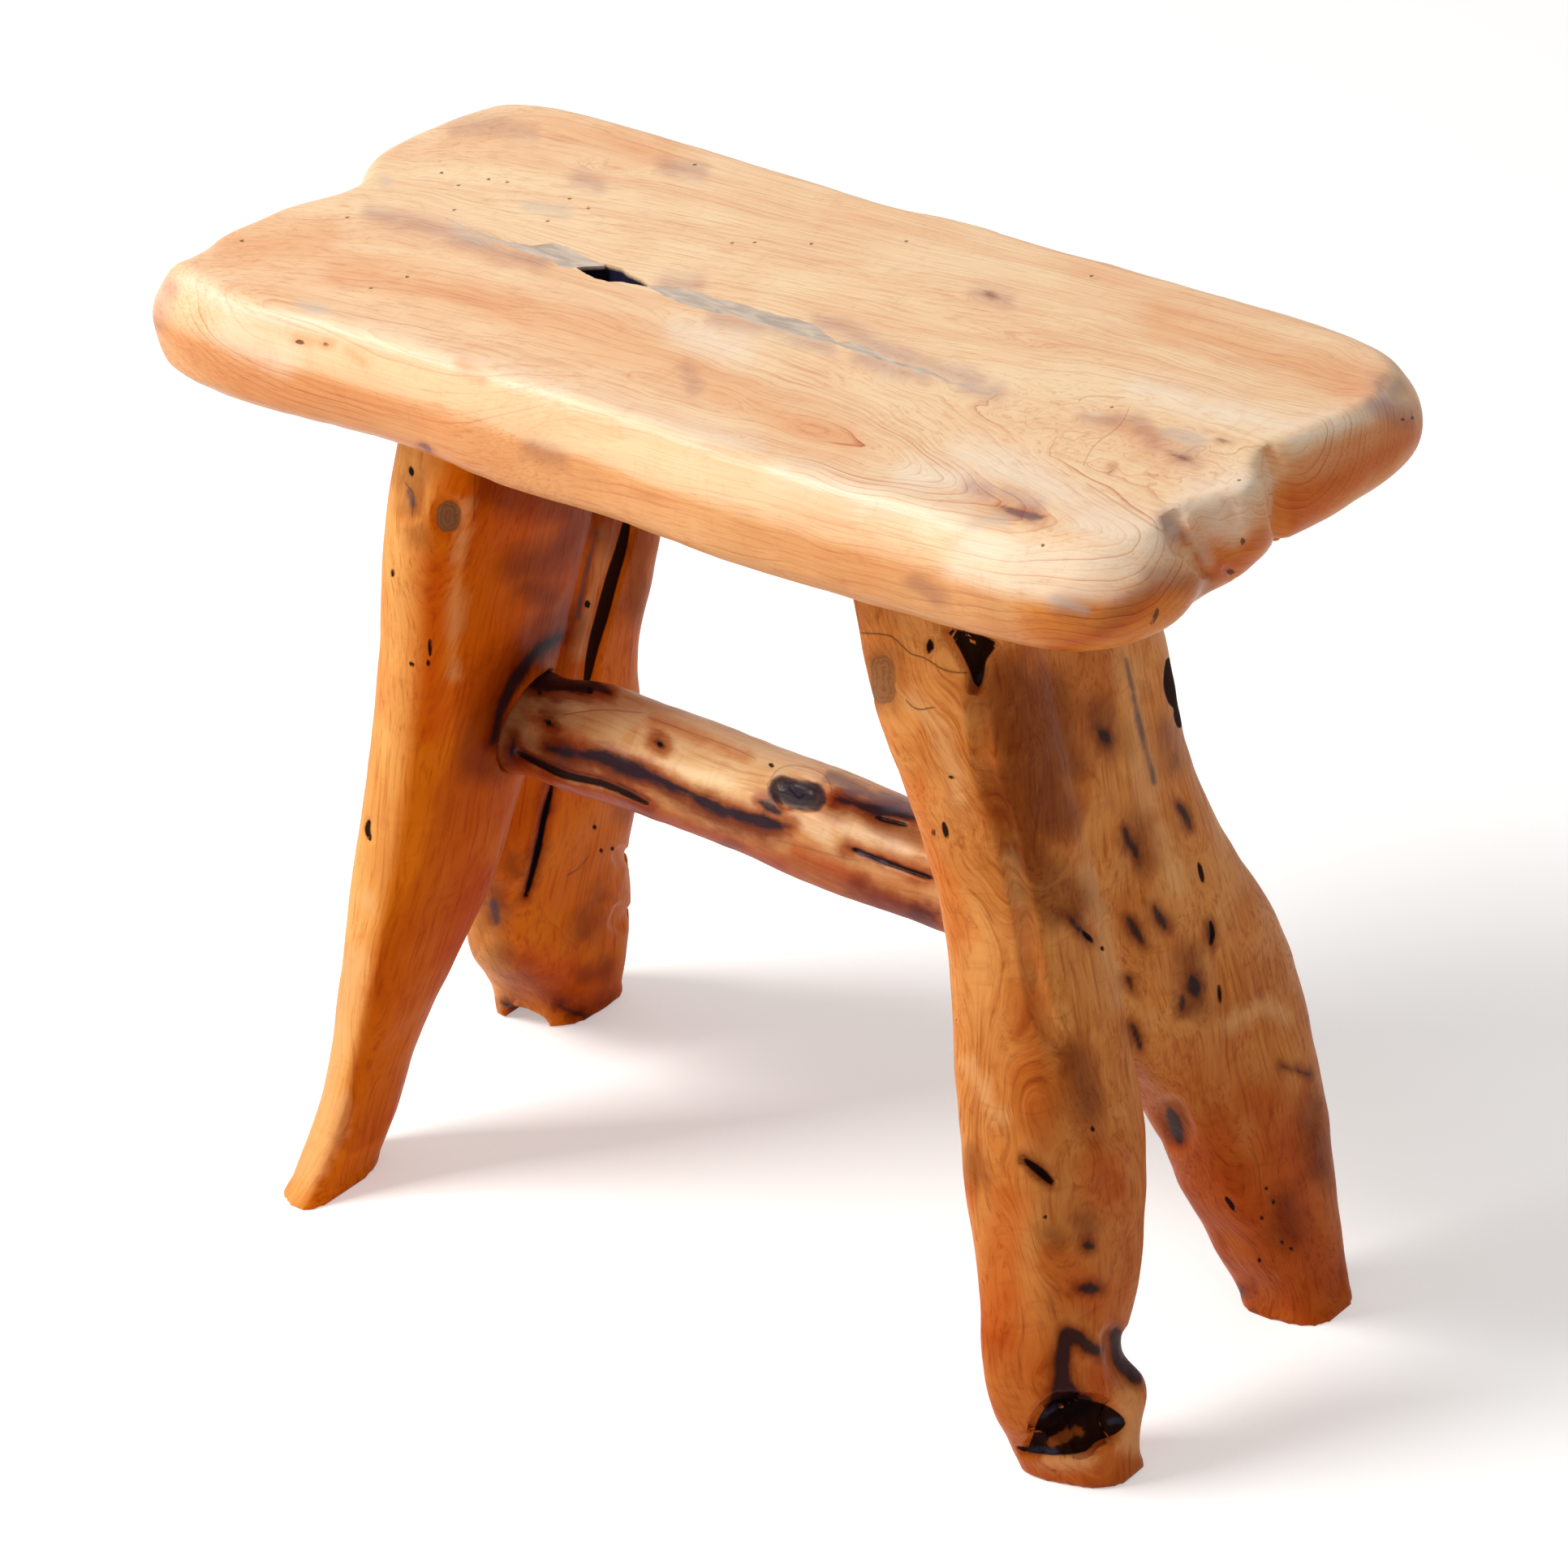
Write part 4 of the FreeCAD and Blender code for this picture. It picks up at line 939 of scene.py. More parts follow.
# %% Marks of the right leg
# Burnt-looking bark above the hollow and at the foot's waist, and the dark hole at the outer edge
FOOT_VEE = [
    (0, (1318, 1634), (1334, 1640), (1346, 1652), (1358, 1660), (1354, 1672), (1336, 1668),
     (1322, 1656), (1318, 1672), (1320, 1696), (1330, 1712), (1348, 1728), (1330, 1744),
     (1292, 1744), (1296, 1716), (1298, 1690), (1300, 1660), (1306, 1640)),
]
FOOT_EDGE = [
    (0, (1366, 1642), (1376, 1636), (1386, 1640), (1388, 1662), (1408, 1690), (1404, 1706),
     (1388, 1700), (1370, 1676)),
]
OUTER_EDGE = [(24, (1436, 776), (1444, 830), (1450, 868)), (10, (1450, 870), (1453, 894))]
RIGHT_MARKS = {
    "check": SEAT_GAP + FOOT_HOLLOW + OUTER_EDGE + [
        (8, (1146, 790), (1146, 803)), (4, (1150, 1022), (1151, 1030)),
        (6, (1163, 1014), (1167, 1032)), (3, (1170, 957), (1176, 960)),
        (8, (1263, 1430), (1280, 1442), (1296, 1457)), (5, (1287, 1498), (1288, 1501)),
        (5, (1345, 1389), (1346, 1393)), (5, (1477, 1064), (1482, 1086)),
        (5, (1334, 1148), (1346, 1160)), (5, (1491, 1136), (1494, 1150), (1491, 1164)),
        (5, (1511, 1476), (1522, 1492)), (4, (1560, 1463), (1561, 1466)),
        (4, (1568, 1479), (1569, 1482)), (4, (1554, 1499), (1555, 1502)),
        (4, (1578, 1529), (1580, 1532)), (4, (1590, 1537), (1592, 1540)),
        (4, (1551, 1551), (1552, 1554)), (4, (1357, 1167), (1359, 1170)),
        (4, (1502, 1214), (1503, 1236)), (4, (1254, 1783), (1268, 1788)),
        (4, (1172, 1253), (1178, 1257)),
    ],
    "vein": [
        (2, (1062, 780), (1096, 783), (1112, 796), (1124, 806), (1140, 811), (1165, 826),
         (1191, 829)),
        (2, (1118, 864), (1130, 874), (1150, 872)),
    ],
    "core": FOOT_CORE,
    # Facet: painted shade on the faces right of the crease, which turn from the lamp
    "facet": [
        (0, (1206, 850), (1208, 900), (1214, 940), (1224, 975), (1246, 1023), (1262, 1080),
         (1300, 1090), (1330, 1040), (1352, 960), (1376, 880), (1386, 800), (1340, 780),
         (1240, 800)),
        (0, (1304, 1290), (1330, 1262), (1352, 1300), (1370, 1380), (1352, 1420), (1320, 1400),
         (1300, 1340)),
    ],
    "knot": [(26, (1088, 822), (1090, 852))],
    "burn": FOOT_VEE + FOOT_EDGE + [
        (8, (1386, 1022), (1392, 1038), (1400, 1054)),
        (8, (1452, 992), (1460, 1004), (1466, 1020)), (12, (1423, 1118), (1434, 1142)),
        (8, (1391, 1132), (1400, 1148), (1409, 1164)),
        (8, (1314, 1128), (1328, 1144), (1342, 1158)), (8, (1390, 1204), (1395, 1220)),
        (16, (1469, 1206), (1473, 1226)), (8, (1456, 1228), (1456, 1246)),
        (8, (1396, 1264), (1402, 1280), (1406, 1294)), (6, (1491, 1138), (1492, 1162)),
        (9, (1336, 1534), (1346, 1536)), (14, (1332, 1588), (1352, 1588)),
        (16, (1440, 1368), (1448, 1384), (1454, 1406)), (4, (1580, 1314), (1612, 1324)),
        (6, (1527, 1588), (1530, 1592)), (6, (1543, 1616), (1546, 1620)),
        (12, (1354, 900), (1366, 912)), (5, (1263, 1428), (1297, 1459)),
    ],
    # Haze: grey stains; the three widest strokes, right of the crease, are painted shade
    "haze": [
        (30, (1088, 818), (1090, 856)), (34, (1350, 880), (1366, 916)),
        (70, (1236, 850), (1262, 920), (1290, 1000)), (50, (1290, 850), (1310, 940)),
        (40, (1240, 960), (1270, 1050), (1300, 1120)), (12, (1322, 1498), (1340, 1510)),
        (16, (1196, 1426), (1204, 1450)), (18, (1300, 1107), (1270, 1090)),
        (16, (1440, 900), (1448, 940)), (24, (1324, 1300), (1340, 1360)),
        (26, (1584, 1480), (1586, 1520)), (30, (1300, 1080), (1330, 1110)),
        (16, (1294, 1518), (1300, 1522)), (22, (1620, 1360), (1626, 1440)),
        (20, (1400, 1010), (1410, 1060)), (22, (1466, 1180), (1474, 1240)),
        (14, (1396, 1636), (1412, 1700)),
    ],
    # Blue: blue grey stains; the three strokes on the foot hollow's rims are a painted sheen
    "blue": [
        (3, (1387, 812), (1396, 850)), (5, (1397, 858), (1406, 900), (1414, 935), (1422, 964)),
        (6, (1284, 1744), (1300, 1732)), (8, (1368, 1752), (1380, 1750)),
        (6, (1272, 1786), (1300, 1788)), (4, (1392, 1680), (1402, 1694)),
        (5, (1206, 838), (1214, 824)),
    ],
    # Pale: lighter wood; the thin line down the crease and the patch right of the foot hollow are
    # painted highlights
    "pale": [
        (22, (1384, 790), (1396, 850), (1408, 930), (1416, 990)),
        (16, (1340, 1080), (1370, 1180), (1380, 1230)), (14, (1430, 1020), (1450, 1090)),
        (26, (1384, 1716), (1396, 1750), (1396, 1776)),
        (6, (1246, 1060), (1258, 1120), (1264, 1170)), (10, (1290, 1800), (1340, 1800)),
        (12, (1196, 1310), (1214, 1350), (1230, 1376)),
        (14, (1120, 860), (1160, 900), (1180, 980)),
        (16, (1516, 1262), (1556, 1240), (1580, 1252)),
    ],
    "ember": [
        (10, (1222, 984), (1234, 1010)), (8, (1258, 1130), (1268, 1180)),
        (30, (1266, 1236), (1272, 1300), (1284, 1386)), (30, (1540, 1440), (1566, 1550)),
        (30, (1590, 1580), (1610, 1620)), (24, (1190, 1470), (1200, 1600)),
        (20, (1130, 960), (1150, 1050), (1180, 1150)), (20, (1344, 1690), (1366, 1712)),
        (40, (1300, 1560), (1340, 1600)), (44, (1362, 1432), (1364, 1460)),
        (50, (1560, 1360), (1590, 1480), (1610, 1580)), (36, (1240, 1480), (1230, 1640)),
        (40, (1500, 1400), (1540, 1500)),
    ],
}
keep_marks(right_leg, RIGHT_MARKS)

# %% [markdown]
# The fibres of a forked log run down both stems, and its rings lie round a heart that leans with
# the leg. So each point is measured from that heart, and a swirl is added, strong on the right leg
# and weak on the left. Stretching the noise along the leg makes the swirls long, as they are in a
# stem.

# %% Rings of the legs
def leg_rings(piece, lean, heart, curl, seed):
    """Fibres that run down both stems, and rings round a heart that wanders with the swirls."""
    places, normals = points_of(piece)
    x, y, z = places.T
    narrowed = 1 / (1 + 1.05 * np.clip(1 - z / 400, 0, 1))
    out = x - lean(z)
    stretched = np.stack([out, y * narrowed, z * 0.42], 1)
    swirl = curl * swells(stretched, 30, seed) + 0.4 * curl * swells(stretched, 12, seed + 1)
    ring = np.hypot(out + heart, (y * narrowed) * 0.8) + swirl
    keep_grain(piece, z + 0.3 * swirl, ring, y * narrowed - 0.5 * out)
    keep_number(piece, "hollow", np.zeros(len(places)))
    print(piece.name, "rings from", round(ring.min()), "to", round(ring.max()), "mm")
    return places, normals


# The amber tone: on the left leg's inner face, where it is partly painted shade, and low down on
# the right leg
places, normals = leg_rings(left, lambda z: -(215.5 - 95 * z / 400), 80, 5, 51)
keep_number(left, "amber", np.clip(0.08 + 1.0 * np.clip(normals[:, 0] + 0.1, 0, 1), 0, 1))
places, normals = leg_rings(right_leg, lambda z: 194.5 - 77 * z / 400, 34, 15, 61)
low = np.clip((190 - places[:, 2]) / 120, 0, 1)
keep_number(right_leg, "amber", np.clip(0.22 + 0.45 * low + 0.25 * swells(places, 60, 63), 0, 1))
for leg in (left, right_leg):
    smooth_shading(leg, 60)

# %% [markdown]
# ## The pole
# The pole is a peeled branch: pale where the bark came off cleanly, purple black where it bled,
# with one large knot. A turned cylinder would be the plain way, but a branch is never round, so
# the solid gets a skin with waves that run along it. The waves stop before the legs, where its
# ends are turned to fit their sockets.

# %% Sculpt the pole
POLE_VOXEL_MM = 1.1
POLE_SHOWN = 142   # the pole shows this far from the middle, and then enters the legs
# A long drying crack near the left end
POLE_SLOT = [(8, (640, 928), (672, 944), (700, 956), (747, 967), (797, 990))]
pole = working_skin("pole_wood", "stretcher", POLE_VOXEL_MM)
places, normals = points_of(pole)
x = places[:, 0]
shown = np.clip((POLE_SHOWN - x) / 6, 0, 1) * np.clip((x + POLE_SHOWN) / 6, 0, 1)
waves = 0.8 * swells(places * np.array([0.5, 1, 1]), 26, 71) + 0.3 * swells(places, 9, 72)
move_points(pole, places + normals * ((waves - 0.5) * shown)[:, None])
carve(pole, (
    # The sunken knot with a ridge over it, and the cracks
    ([(36, (974, 976), (992, 979))], 1.4, 1.8, 0.8),
    ([(4, (964, 968), (984, 964), (1002, 974))], -0.9, 1.4),
    (POLE_SLOT, 2.2, 1.2, 0.0, 0.3),
    ([(3, (1052, 1048), (1100, 1066), (1144, 1082))], 1.6, 1.2, 0.5, 0.5),
    ([(3, (1084, 1008), (1117, 1017))], 1.2, 1.2, 0.5, 0.5),
))
stay_inside(pole, "stretcher")

# %% Marks of the pole
POLE_MARKS = {
    "knot": [(31, (962, 972), (984, 980), (1002, 982))],
    "check": POLE_SLOT + [
        (5, (1052, 1046), (1080, 1058), (1112, 1070), (1148, 1082)),
        (4, (1080, 1007), (1100, 1013), (1118, 1017)), (5, (675, 889), (677, 892)),
        (5, (812, 916), (815, 918)), (4, (949, 942), (952, 944)), (7, (724, 849), (728, 853)),
        (4, (664, 852), (666, 855)), (3, (972, 970), (984, 982), (992, 978)),
    ],
    "vein": [
        (2, (696, 880), (740, 874), (790, 878)),
        (2, (800, 884), (850, 902), (900, 920), (930, 934)),
        (2, (946, 966), (962, 946), (990, 944), (1018, 956), (1026, 976)),
        (2, (960, 1036), (1010, 1050), (1050, 1060)),
    ],
    # Burn: bark stain; the short stroke at the left end, from (634, 908), is painted shade
    "burn": [
        (34, (660, 838), (700, 832), (730, 842)), (10, (730, 846), (752, 854)),
        (17, (676, 922), (716, 930), (744, 934), (786, 950), (824, 966), (860, 984)),
        (15, (850, 980), (890, 998), (930, 1010), (972, 1020)),
        (13, (1030, 984), (1070, 994), (1134, 1010)), (9, (936, 988), (960, 1000)),
        (5, (1046, 1044), (1146, 1080)), (8, (634, 908), (630, 932)),
        (6, (640, 926), (700, 952), (760, 972), (800, 992)), (5, (808, 914), (818, 920)),
        (6, (1130, 1120), (1150, 1128)), (4, (672, 888), (680, 893)),
    ],
    # Haze: grey stains; the wide stroke at the left end, by the socket, is painted shade
    "haze": [
        (40, (640, 846), (628, 890), (630, 930)),
        (20, (650, 914), (700, 936), (780, 952), (860, 996), (960, 1030)),
        (14, (1060, 1090), (1100, 1110), (1150, 1130)), (12, (860, 1030), (900, 1045)),
        (16, (1030, 996), (1130, 1030)), (18, (760, 1010), (860, 1050)),
        (12, (660, 862), (690, 880)),
    ],
    "blue": [
        (12, (1022, 956), (1044, 966), (1066, 974)), (14, (1050, 972), (1090, 986), (1134, 998)),
        (28, (974, 977), (992, 979)), (6, (1060, 1052), (1090, 1064)), (8, (690, 832), (710, 836)),
    ],
    "pale": [
        (16, (700, 862), (740, 862), (790, 874)), (20, (776, 868), (846, 884)),
        (9, (800, 876), (880, 900), (960, 934), (1000, 944)),
        (12, (952, 962), (970, 946), (1000, 950), (1020, 970)), (8, (1040, 1020), (1120, 1046)),
        (7, (926, 992), (1020, 1026)),
    ],
    "ember": [
        (5, (806, 890), (830, 896), (850, 905), (880, 918), (918, 934)),
        (14, (640, 940), (740, 988), (860, 1034), (960, 1066)), (16, (676, 905), (712, 915)),
        (20, (1080, 1110), (1146, 1138)), (8, (652, 880), (666, 896)),
        (10, (1012, 976), (1026, 986)), (10, (720, 846), (740, 852)),
        (12, (980, 1050), (1060, 1086)),
    ],
}
keep_marks(pole, POLE_MARKS)

# %% Rings of the pole
AXIS_Y, AXIS_Z = 8, 220
RADIUS = 25
places, normals = points_of(pole)
turn = np.arctan2(places[:, 1] - AXIS_Y, places[:, 2] - AXIS_Z)
swirl = 5 * swells(places * np.array([0.25, 1, 1]), 22, 81)
radius = np.hypot(places[:, 1] - AXIS_Y, places[:, 2] - AXIS_Z)
keep_grain(pole, places[:, 0], turn * RADIUS + swirl, radius)
# The underside is painted darker and oranger by its normal: partly painted shade, partly the pole's
# own colour
amber = 0.5 - 0.75 * normals[:, 2] + 0.15 * swells(places, 30, 82)
keep_number(pole, "amber", np.clip(amber, 0, 1))
keep_number(pole, "hollow", np.zeros(len(places)))
smooth_shading(pole, 60)
print(f"the pole is about {2 * np.median(radius):.0f} mm thick")

# %% [markdown]
# ## The wood under its varnish
# A varnished softwood shows four things at once. Wide patches drift from straw to orange. Growth
# rings draw thin brown lines with a sharp side, some strong and some faint. Fine fibres run along
# them. Over all lies the satin varnish, which keeps its own small highlights. A photograph wrapped
# round the piece would show them too, but only from one side and at one size. Here each is a noise
# or a wave that is measured along the grain, which every vertex carries, so the figure follows the
# wood round every edge.

# %% Colours and nodes
UNDER, OVER, MIXED = 6, 7, 2   # the colour sockets of a Mix node, which share their names


def colour(code):
    """An sRGB hex colour as the linear numbers that a shader takes."""
    parts = [int(code[i:i + 2], 16) / 255 for i in (1, 3, 5)]
    linear = [p / 12.92 if p <= 0.04045 else ((p + 0.055) / 1.055) ** 2.4 for p in parts]
    return (*linear, 1.0)


def add(tree, kind, inputs, out=0, **settings):
    """Adds a node with its settings and with values or links for its inputs; gives one output."""
    made = tree.nodes.new("ShaderNode" + kind)
    for name, value in settings.items():
        setattr(made, name, value)
    for name, value in inputs.items():
        if isinstance(value, bpy.types.NodeSocket):
            tree.links.new(value, made.inputs[name])
        else:
            made.inputs[name].default_value = value
    return None if out is None else made.outputs[out]


def empty_material(name):
    """A material with no nodes yet, and its node tree."""
    material = bpy.data.materials.new(name)
    material.use_nodes = True
    material.node_tree.nodes.clear()
    return material, material.node_tree


print("mid grey #808080 is", round(colour("#808080")[0], 3), "in linear light")

# %% The figure of the wood
def figure_of(tree, wood):
    """Soft numbers for patches, bands, fibres, flecks and years, all measured along the grain."""
    grain = add(tree, "Attribute", {}, "Vector", attribute_name="grain")
    ring = add(tree, "SeparateXYZ", {0: grain}, "Y")
    patch, blot, fibre = wood["patch_mm"], wood["blot_mm"], wood["fibre_mm"]
    seen = {}
    # Each noise has its size in mm along the fibres, across the rings and round them
    for name, size, detail, rough, bend in (
        ("patch", (patch * 1.6, patch, patch), 3.0, 0.5, 0.9),
        ("band", (150, wood["ring_mm"] * 5, 60), 3.0, 0.6, 0.0),
        ("fibre", (wood["fibre_long_mm"], fibre, fibre), 5.0, 0.62, 0.25),
        ("fade", (55, 9, 30), 2.0, 0.5, 0.0),
        ("blot", (blot * 2.2, blot, blot), 4.0, 0.62, 0.0),
        ("fleck", (2.6, 1.8, 1.8), 2.0, 0.5, 0.0),
        ("curl", (wood["curl_mm"], 16, 16), 3.0, 0.55, 1.6),
    ):
        shrunk = {0: grain, 1: [1 / s for s in size]}
        seen[name] = add(tree, "TexNoise", {
            "Vector": add(tree, "VectorMath", shrunk, operation="MULTIPLY"),
            "Scale": 1.0, "Detail": detail, "Roughness": rough, "Distortion": bend,
        })
    turns = add(tree, "Math", {0: ring, 1: 1 / wood["ring_mm"]}, operation="MULTIPLY")
    sway = {0: seen["band"], 1: wood["sway"], 2: turns}
    turns = add(tree, "Math", sway, operation="MULTIPLY_ADD")
    seen["year"] = add(tree, "Math", {0: turns}, operation="FRACT")
    seen["whole"] = add(tree, "Math", {0: turns}, operation="FLOOR")
    return seen


def years_of(tree, seen):
    """How dark each year's summer wood is: a sharp line after a slow rise, never twice alike."""
    sharp = add(tree, "Math", {0: seen["year"], 1: 4.5}, operation="POWER")
    slow = add(tree, "Math", {0: seen["year"], 1: 2.0}, operation="POWER")
    slow = add(tree, "Math", {0: slow, 1: 0.42}, operation="MULTIPLY")
    line = add(tree, "Math", {0: sharp, 1: slow}, operation="MAXIMUM")
    strength = add(tree, "TexWhiteNoise", {"W": seen["whole"]}, noise_dimensions="1D")
    strength = add(tree, "MapRange", {"Value": strength, "To Min": 0.3, "To Max": 1.0})
    line = add(tree, "Math", {0: line, 1: strength}, operation="MULTIPLY")
    # Two thin lines between the strong ones
    thin = add(tree, "Math", {0: seen["year"], 1: 3.0}, operation="MULTIPLY")
    thin = add(tree, "Math", {0: thin}, operation="FRACT")
    thin = add(tree, "Math", {0: thin, 1: 3.0}, operation="POWER")
    thin = add(tree, "Math", {0: thin, 1: 0.28}, operation="MULTIPLY")
    line = add(tree, "Math", {0: line, 1: thin}, operation="MAXIMUM")
    fade = {"Value": seen["fade"], "From Min": 0.25, "From Max": 0.55, "To Min": 0.25}
    faded = add(tree, "MapRange", fade)
    return add(tree, "Math", {0: line, 1: faded}, operation="MULTIPLY")


# %% [markdown]
# ## Marks in the wood
# The distances that the vertices keep are smooth, and a stain drawn by them alone would have an
# edge like a sticker's. Real stain creeps along the fibres. So blotches and fibres push each edge
# to and fro before it becomes a colour. A knot is also a small branch with rings of its own, and a
# hair line wanders from side to side.

# %% Ragged edges, knots and hair lines
KNOT_RINGS_PER_MM = 0.42


def ragged_edges(tree, seen):
    """How far blotches and fibres push the edge of a mark to and fro."""
    torn = add(tree, "Math", {0: seen["fibre"], 1: 0.5, 2: seen["blot"]}, operation="MULTIPLY_ADD")
    return add(tree, "Math", {0: torn, 1: 0.75}, operation="SUBTRACT")


def knot_of(tree, seen, torn, kept):
    """A knot's distance with a ragged edge, its rim, and the lines of its own rings."""
    knot = add(tree, "Math", {0: torn, 1: 4.0, 2: kept["knot"]}, operation="MULTIPLY_ADD")
    rim = add(tree, "Math", {0: knot}, operation="ABSOLUTE")
    turned = add(tree, "Math", {0: seen["fleck"], 1: 2.5, 2: knot}, operation="MULTIPLY_ADD")
    turned = add(tree, "Math", {0: turned, 1: KNOT_RINGS_PER_MM}, operation="MULTIPLY")
    turned = add(tree, "Math", {0: turned}, operation="FRACT")
    within = add(tree, "MapRange", {"Value": knot, "From Min": 0.0, "From Max": -1.0})
    return knot, rim, add(tree, "Math", {0: turned, 1: within}, operation="MULTIPLY")


def hair_line(tree, seen, kept):
    """How much of a thin brown line shows: it wavers across the middle of its stroke."""
    waver = {0: seen["fibre"], 1: 1.6, 2: kept["vein_side"]}
    waver = add(tree, "Math", waver, operation="MULTIPLY_ADD")
    waver = add(tree, "Math", {0: waver, 1: 0.8}, operation="SUBTRACT")
    waver = add(tree, "Math", {0: waver}, operation="ABSOLUTE")
    line = add(tree, "MapRange", {"Value": waver, "From Min": 1.6, "From Max": 0.5})
    near = add(tree, "MapRange", {"Value": kept["vein"], "From Min": 1.4, "From Max": 0.4})
    return add(tree, "Math", {0: line, 1: near}, operation="MULTIPLY")


print(f"the rings of a knot are {1 / KNOT_RINGS_PER_MM:.1f} mm apart")

# %% Layers of colour
BOLD = 1.7         # how much darker the rings are inside a "bold" mark
RAGGED = 3.2       # turns a mark's raggedness into millimetres
LINES_FULL = 2.2   # the darkest that a line can get


def layered_colour(tree, wood, seen, years, kept, line):
    """The wood's colour, laid on in thin coats, and the ragged distance to each kind of mark."""
    bold = add(tree, "MapRange", {
        "Value": kept["bold"], "From Min": 6.0, "From Max": -4.0, "To Min": 1.0, "To Max": BOLD,
    })
    lines = add(tree, "Math", {0: years, 1: bold}, operation="MULTIPLY")
    torn = ragged_edges(tree, seen)
    knot, rim, knot_line = knot_of(tree, seen, torn, kept)

    # Each layer is a number, the span over which it comes in, how strong it gets, and its colour
    layers = [
        (seen["patch"], 0.32, 0.68, 1.0, wood["middle"], "MIX"),
        (seen["band"], 0.42, 0.7, wood["band"], wood["warm"], "MIX"),
        (seen["band"], 0.42, 0.26, wood["band"], wood["light"], "MIX"),
        (seen["fibre"], 0.48, 0.3, wood["fibre"], wood["light"], "MIX"),
        (seen["fibre"], 0.46, 0.72, wood["fibre"], wood["dark"], "MULTIPLY"),
        (kept["amber"], 0.0, 1.0, 1.0, wood["amber"], "MULTIPLY"),
    ]
    ragged_marks = {}
    for kind, inner, outer, ragged, most, tint, blend in wood["marks"]:
        if kind == "lines":
            share = wood["line"] * LINES_FULL
            layers.append((lines, 0.0, LINES_FULL, share, wood["dark"], "MULTIPLY"))
            layers.append((seen["curl"], 0.48, 0.28, wood["curl"] * 0.22, wood["dark"], "MULTIPLY"))
            continue
        gap = add(tree, "Attribute", {}, "Fac", attribute_name=kind)
        edge = add(tree, "Math", {0: torn, 1: ragged * RAGGED, 2: gap}, operation="MULTIPLY_ADD")
        layers.append((edge, outer, inner, most, tint, blend))
        ragged_marks[kind] = edge
    layers += [
        (knot, 1.2, -0.8, 0.9, wood["knot"], "MIX"),
        (knot_line, 0.35, 1.0, 0.35, wood["knot_rim"], "MIX"),
        (rim, 1.0, 0.0, 0.3, wood["knot_rim"], "MIX"),
        # painted shade, tinted violet as a painted reflection, on the walls of the open crack
        (kept["hollow"], 0.01, 0.1, 1.0, wood["shaded"], "MIX"),
    ]
    base = colour(wood["light"])
    for value, start, full, most, tint, blend in layers:
        span = {"Value": value, "From Min": start, "From Max": full, "To Max": most}
        share = add(tree, "MapRange", span, interpolation_type="SMOOTHSTEP")
        tints = {0: share, UNDER: base, OVER: colour(tint)}
        base = add(tree, "Mix", tints, MIXED, data_type="RGBA", blend_type=blend)
    share = add(tree, "Math", {0: line, 1: wood["vein_share"]}, operation="MULTIPLY")
    tints = {0: share, UNDER: base, OVER: colour(wood["vein"])}
    return add(tree, "Mix", tints, MIXED, data_type="RGBA"), ragged_marks


print("a bold ring is", BOLD, "times as dark as a plain one")

# %% Varnished wood
RELIEF_MM = 0.6   # the height of the bump, drawn higher than real sanded wood so that it shows


def varnished_wood(name, wood):
    """Sanded wood under satin varnish, from a dictionary of its colours and its sizes in mm."""
    material, tree = empty_material(name)
    seen = figure_of(tree, wood)
    years = years_of(tree, seen)
    kept = {
        kind: add(tree, "Attribute", {}, "Fac", attribute_name=kind)
        for kind in ("amber", "hollow", "knot", "vein", "vein_side", "bold")
    }
    line = hair_line(tree, seen, kept)
    base, marks = layered_colour(tree, wood, seen, years, kept, line)

    # The varnish sinks a little into fibres, rings, hair lines and open cracks
    split = add(tree, "MapRange", {"Value": marks["check"], "From Min": 0.5, "From Max": -0.3})
    deep = add(tree, "Math", {0: seen["fleck"], 1: kept["hollow"]}, operation="MULTIPLY")
    height = add(tree, "Math", {0: seen["curl"], 1: wood["curl"]}, operation="MULTIPLY")
    for part, weight in (
        (seen["fibre"], 0.6), (split, -2.5), (line, -1.0), (deep, 9.0), (years, -0.35),
    ):
        sum_of = {0: part, 1: weight, 2: height}
        height = add(tree, "Math", sum_of, operation="MULTIPLY_ADD")
    relief = {"Height": height, "Strength": wood["relief"], "Distance": RELIEF_MM * MM}

    # Satin over the wood, wetter in the resin-lined pocket, and matt in open cracks
    satin = add(tree, "MapRange", {
        "Value": seen["fibre"], "From Min": 0.3, "From Max": 0.7, "To Min": 0.32, "To Max": 0.44,
    })
    satin = add(tree, "Math", {0: kept["hollow"], 1: -0.16, 2: satin}, operation="MULTIPLY_ADD")
    matt = add(tree, "MapRange", {"Value": marks["check"], "From Min": 0.6, "From Max": -0.2})
    rough = add(tree, "Math", {0: satin, 1: matt}, operation="MAXIMUM")
    skin = add(tree, "BsdfPrincipled", {
        "Base Color": base, "Roughness": rough, "Normal": add(tree, "Bump", relief),
        "IOR": 1.5, "Specular IOR Level": wood["shine"],
        "Specular Tint": colour(wood["sheen"]), "Coat Weight": wood["varnish"],
        "Coat Roughness": 0.14,
    })
    add(tree, "OutputMaterial", {"Surface": skin}, None)
    print(name, "has", len(tree.nodes), "nodes")
    return material


# %% [markdown]
# ## Four woods
# All four pieces are one kind of reddish softwood, sawn or peeled, sanded and varnished, and yet
# no two look alike. The slab was sanded pale; the left leg glows orange on its sawn face; the
# right leg is burl, all swirls; the pole keeps the stain of its bark. One recipe with four sets of
# colours and sizes keeps them a family. Real fibres are under a tenth of a millimetre wide and
# wouldn't show in the picture, so they are drawn in bundles of 1.2 to 1.6 mm. The rings are 3 to 7
# mm apart, as on the real wood where they are easy to see.
#
# A mark's row holds its kind, the distances in millimetres where it is full and where it has faded
# out, how ragged its edge is, how strong it gets, its colour and how that is laid on. The rows are
# laid on in order, with the lines of the rings between them.

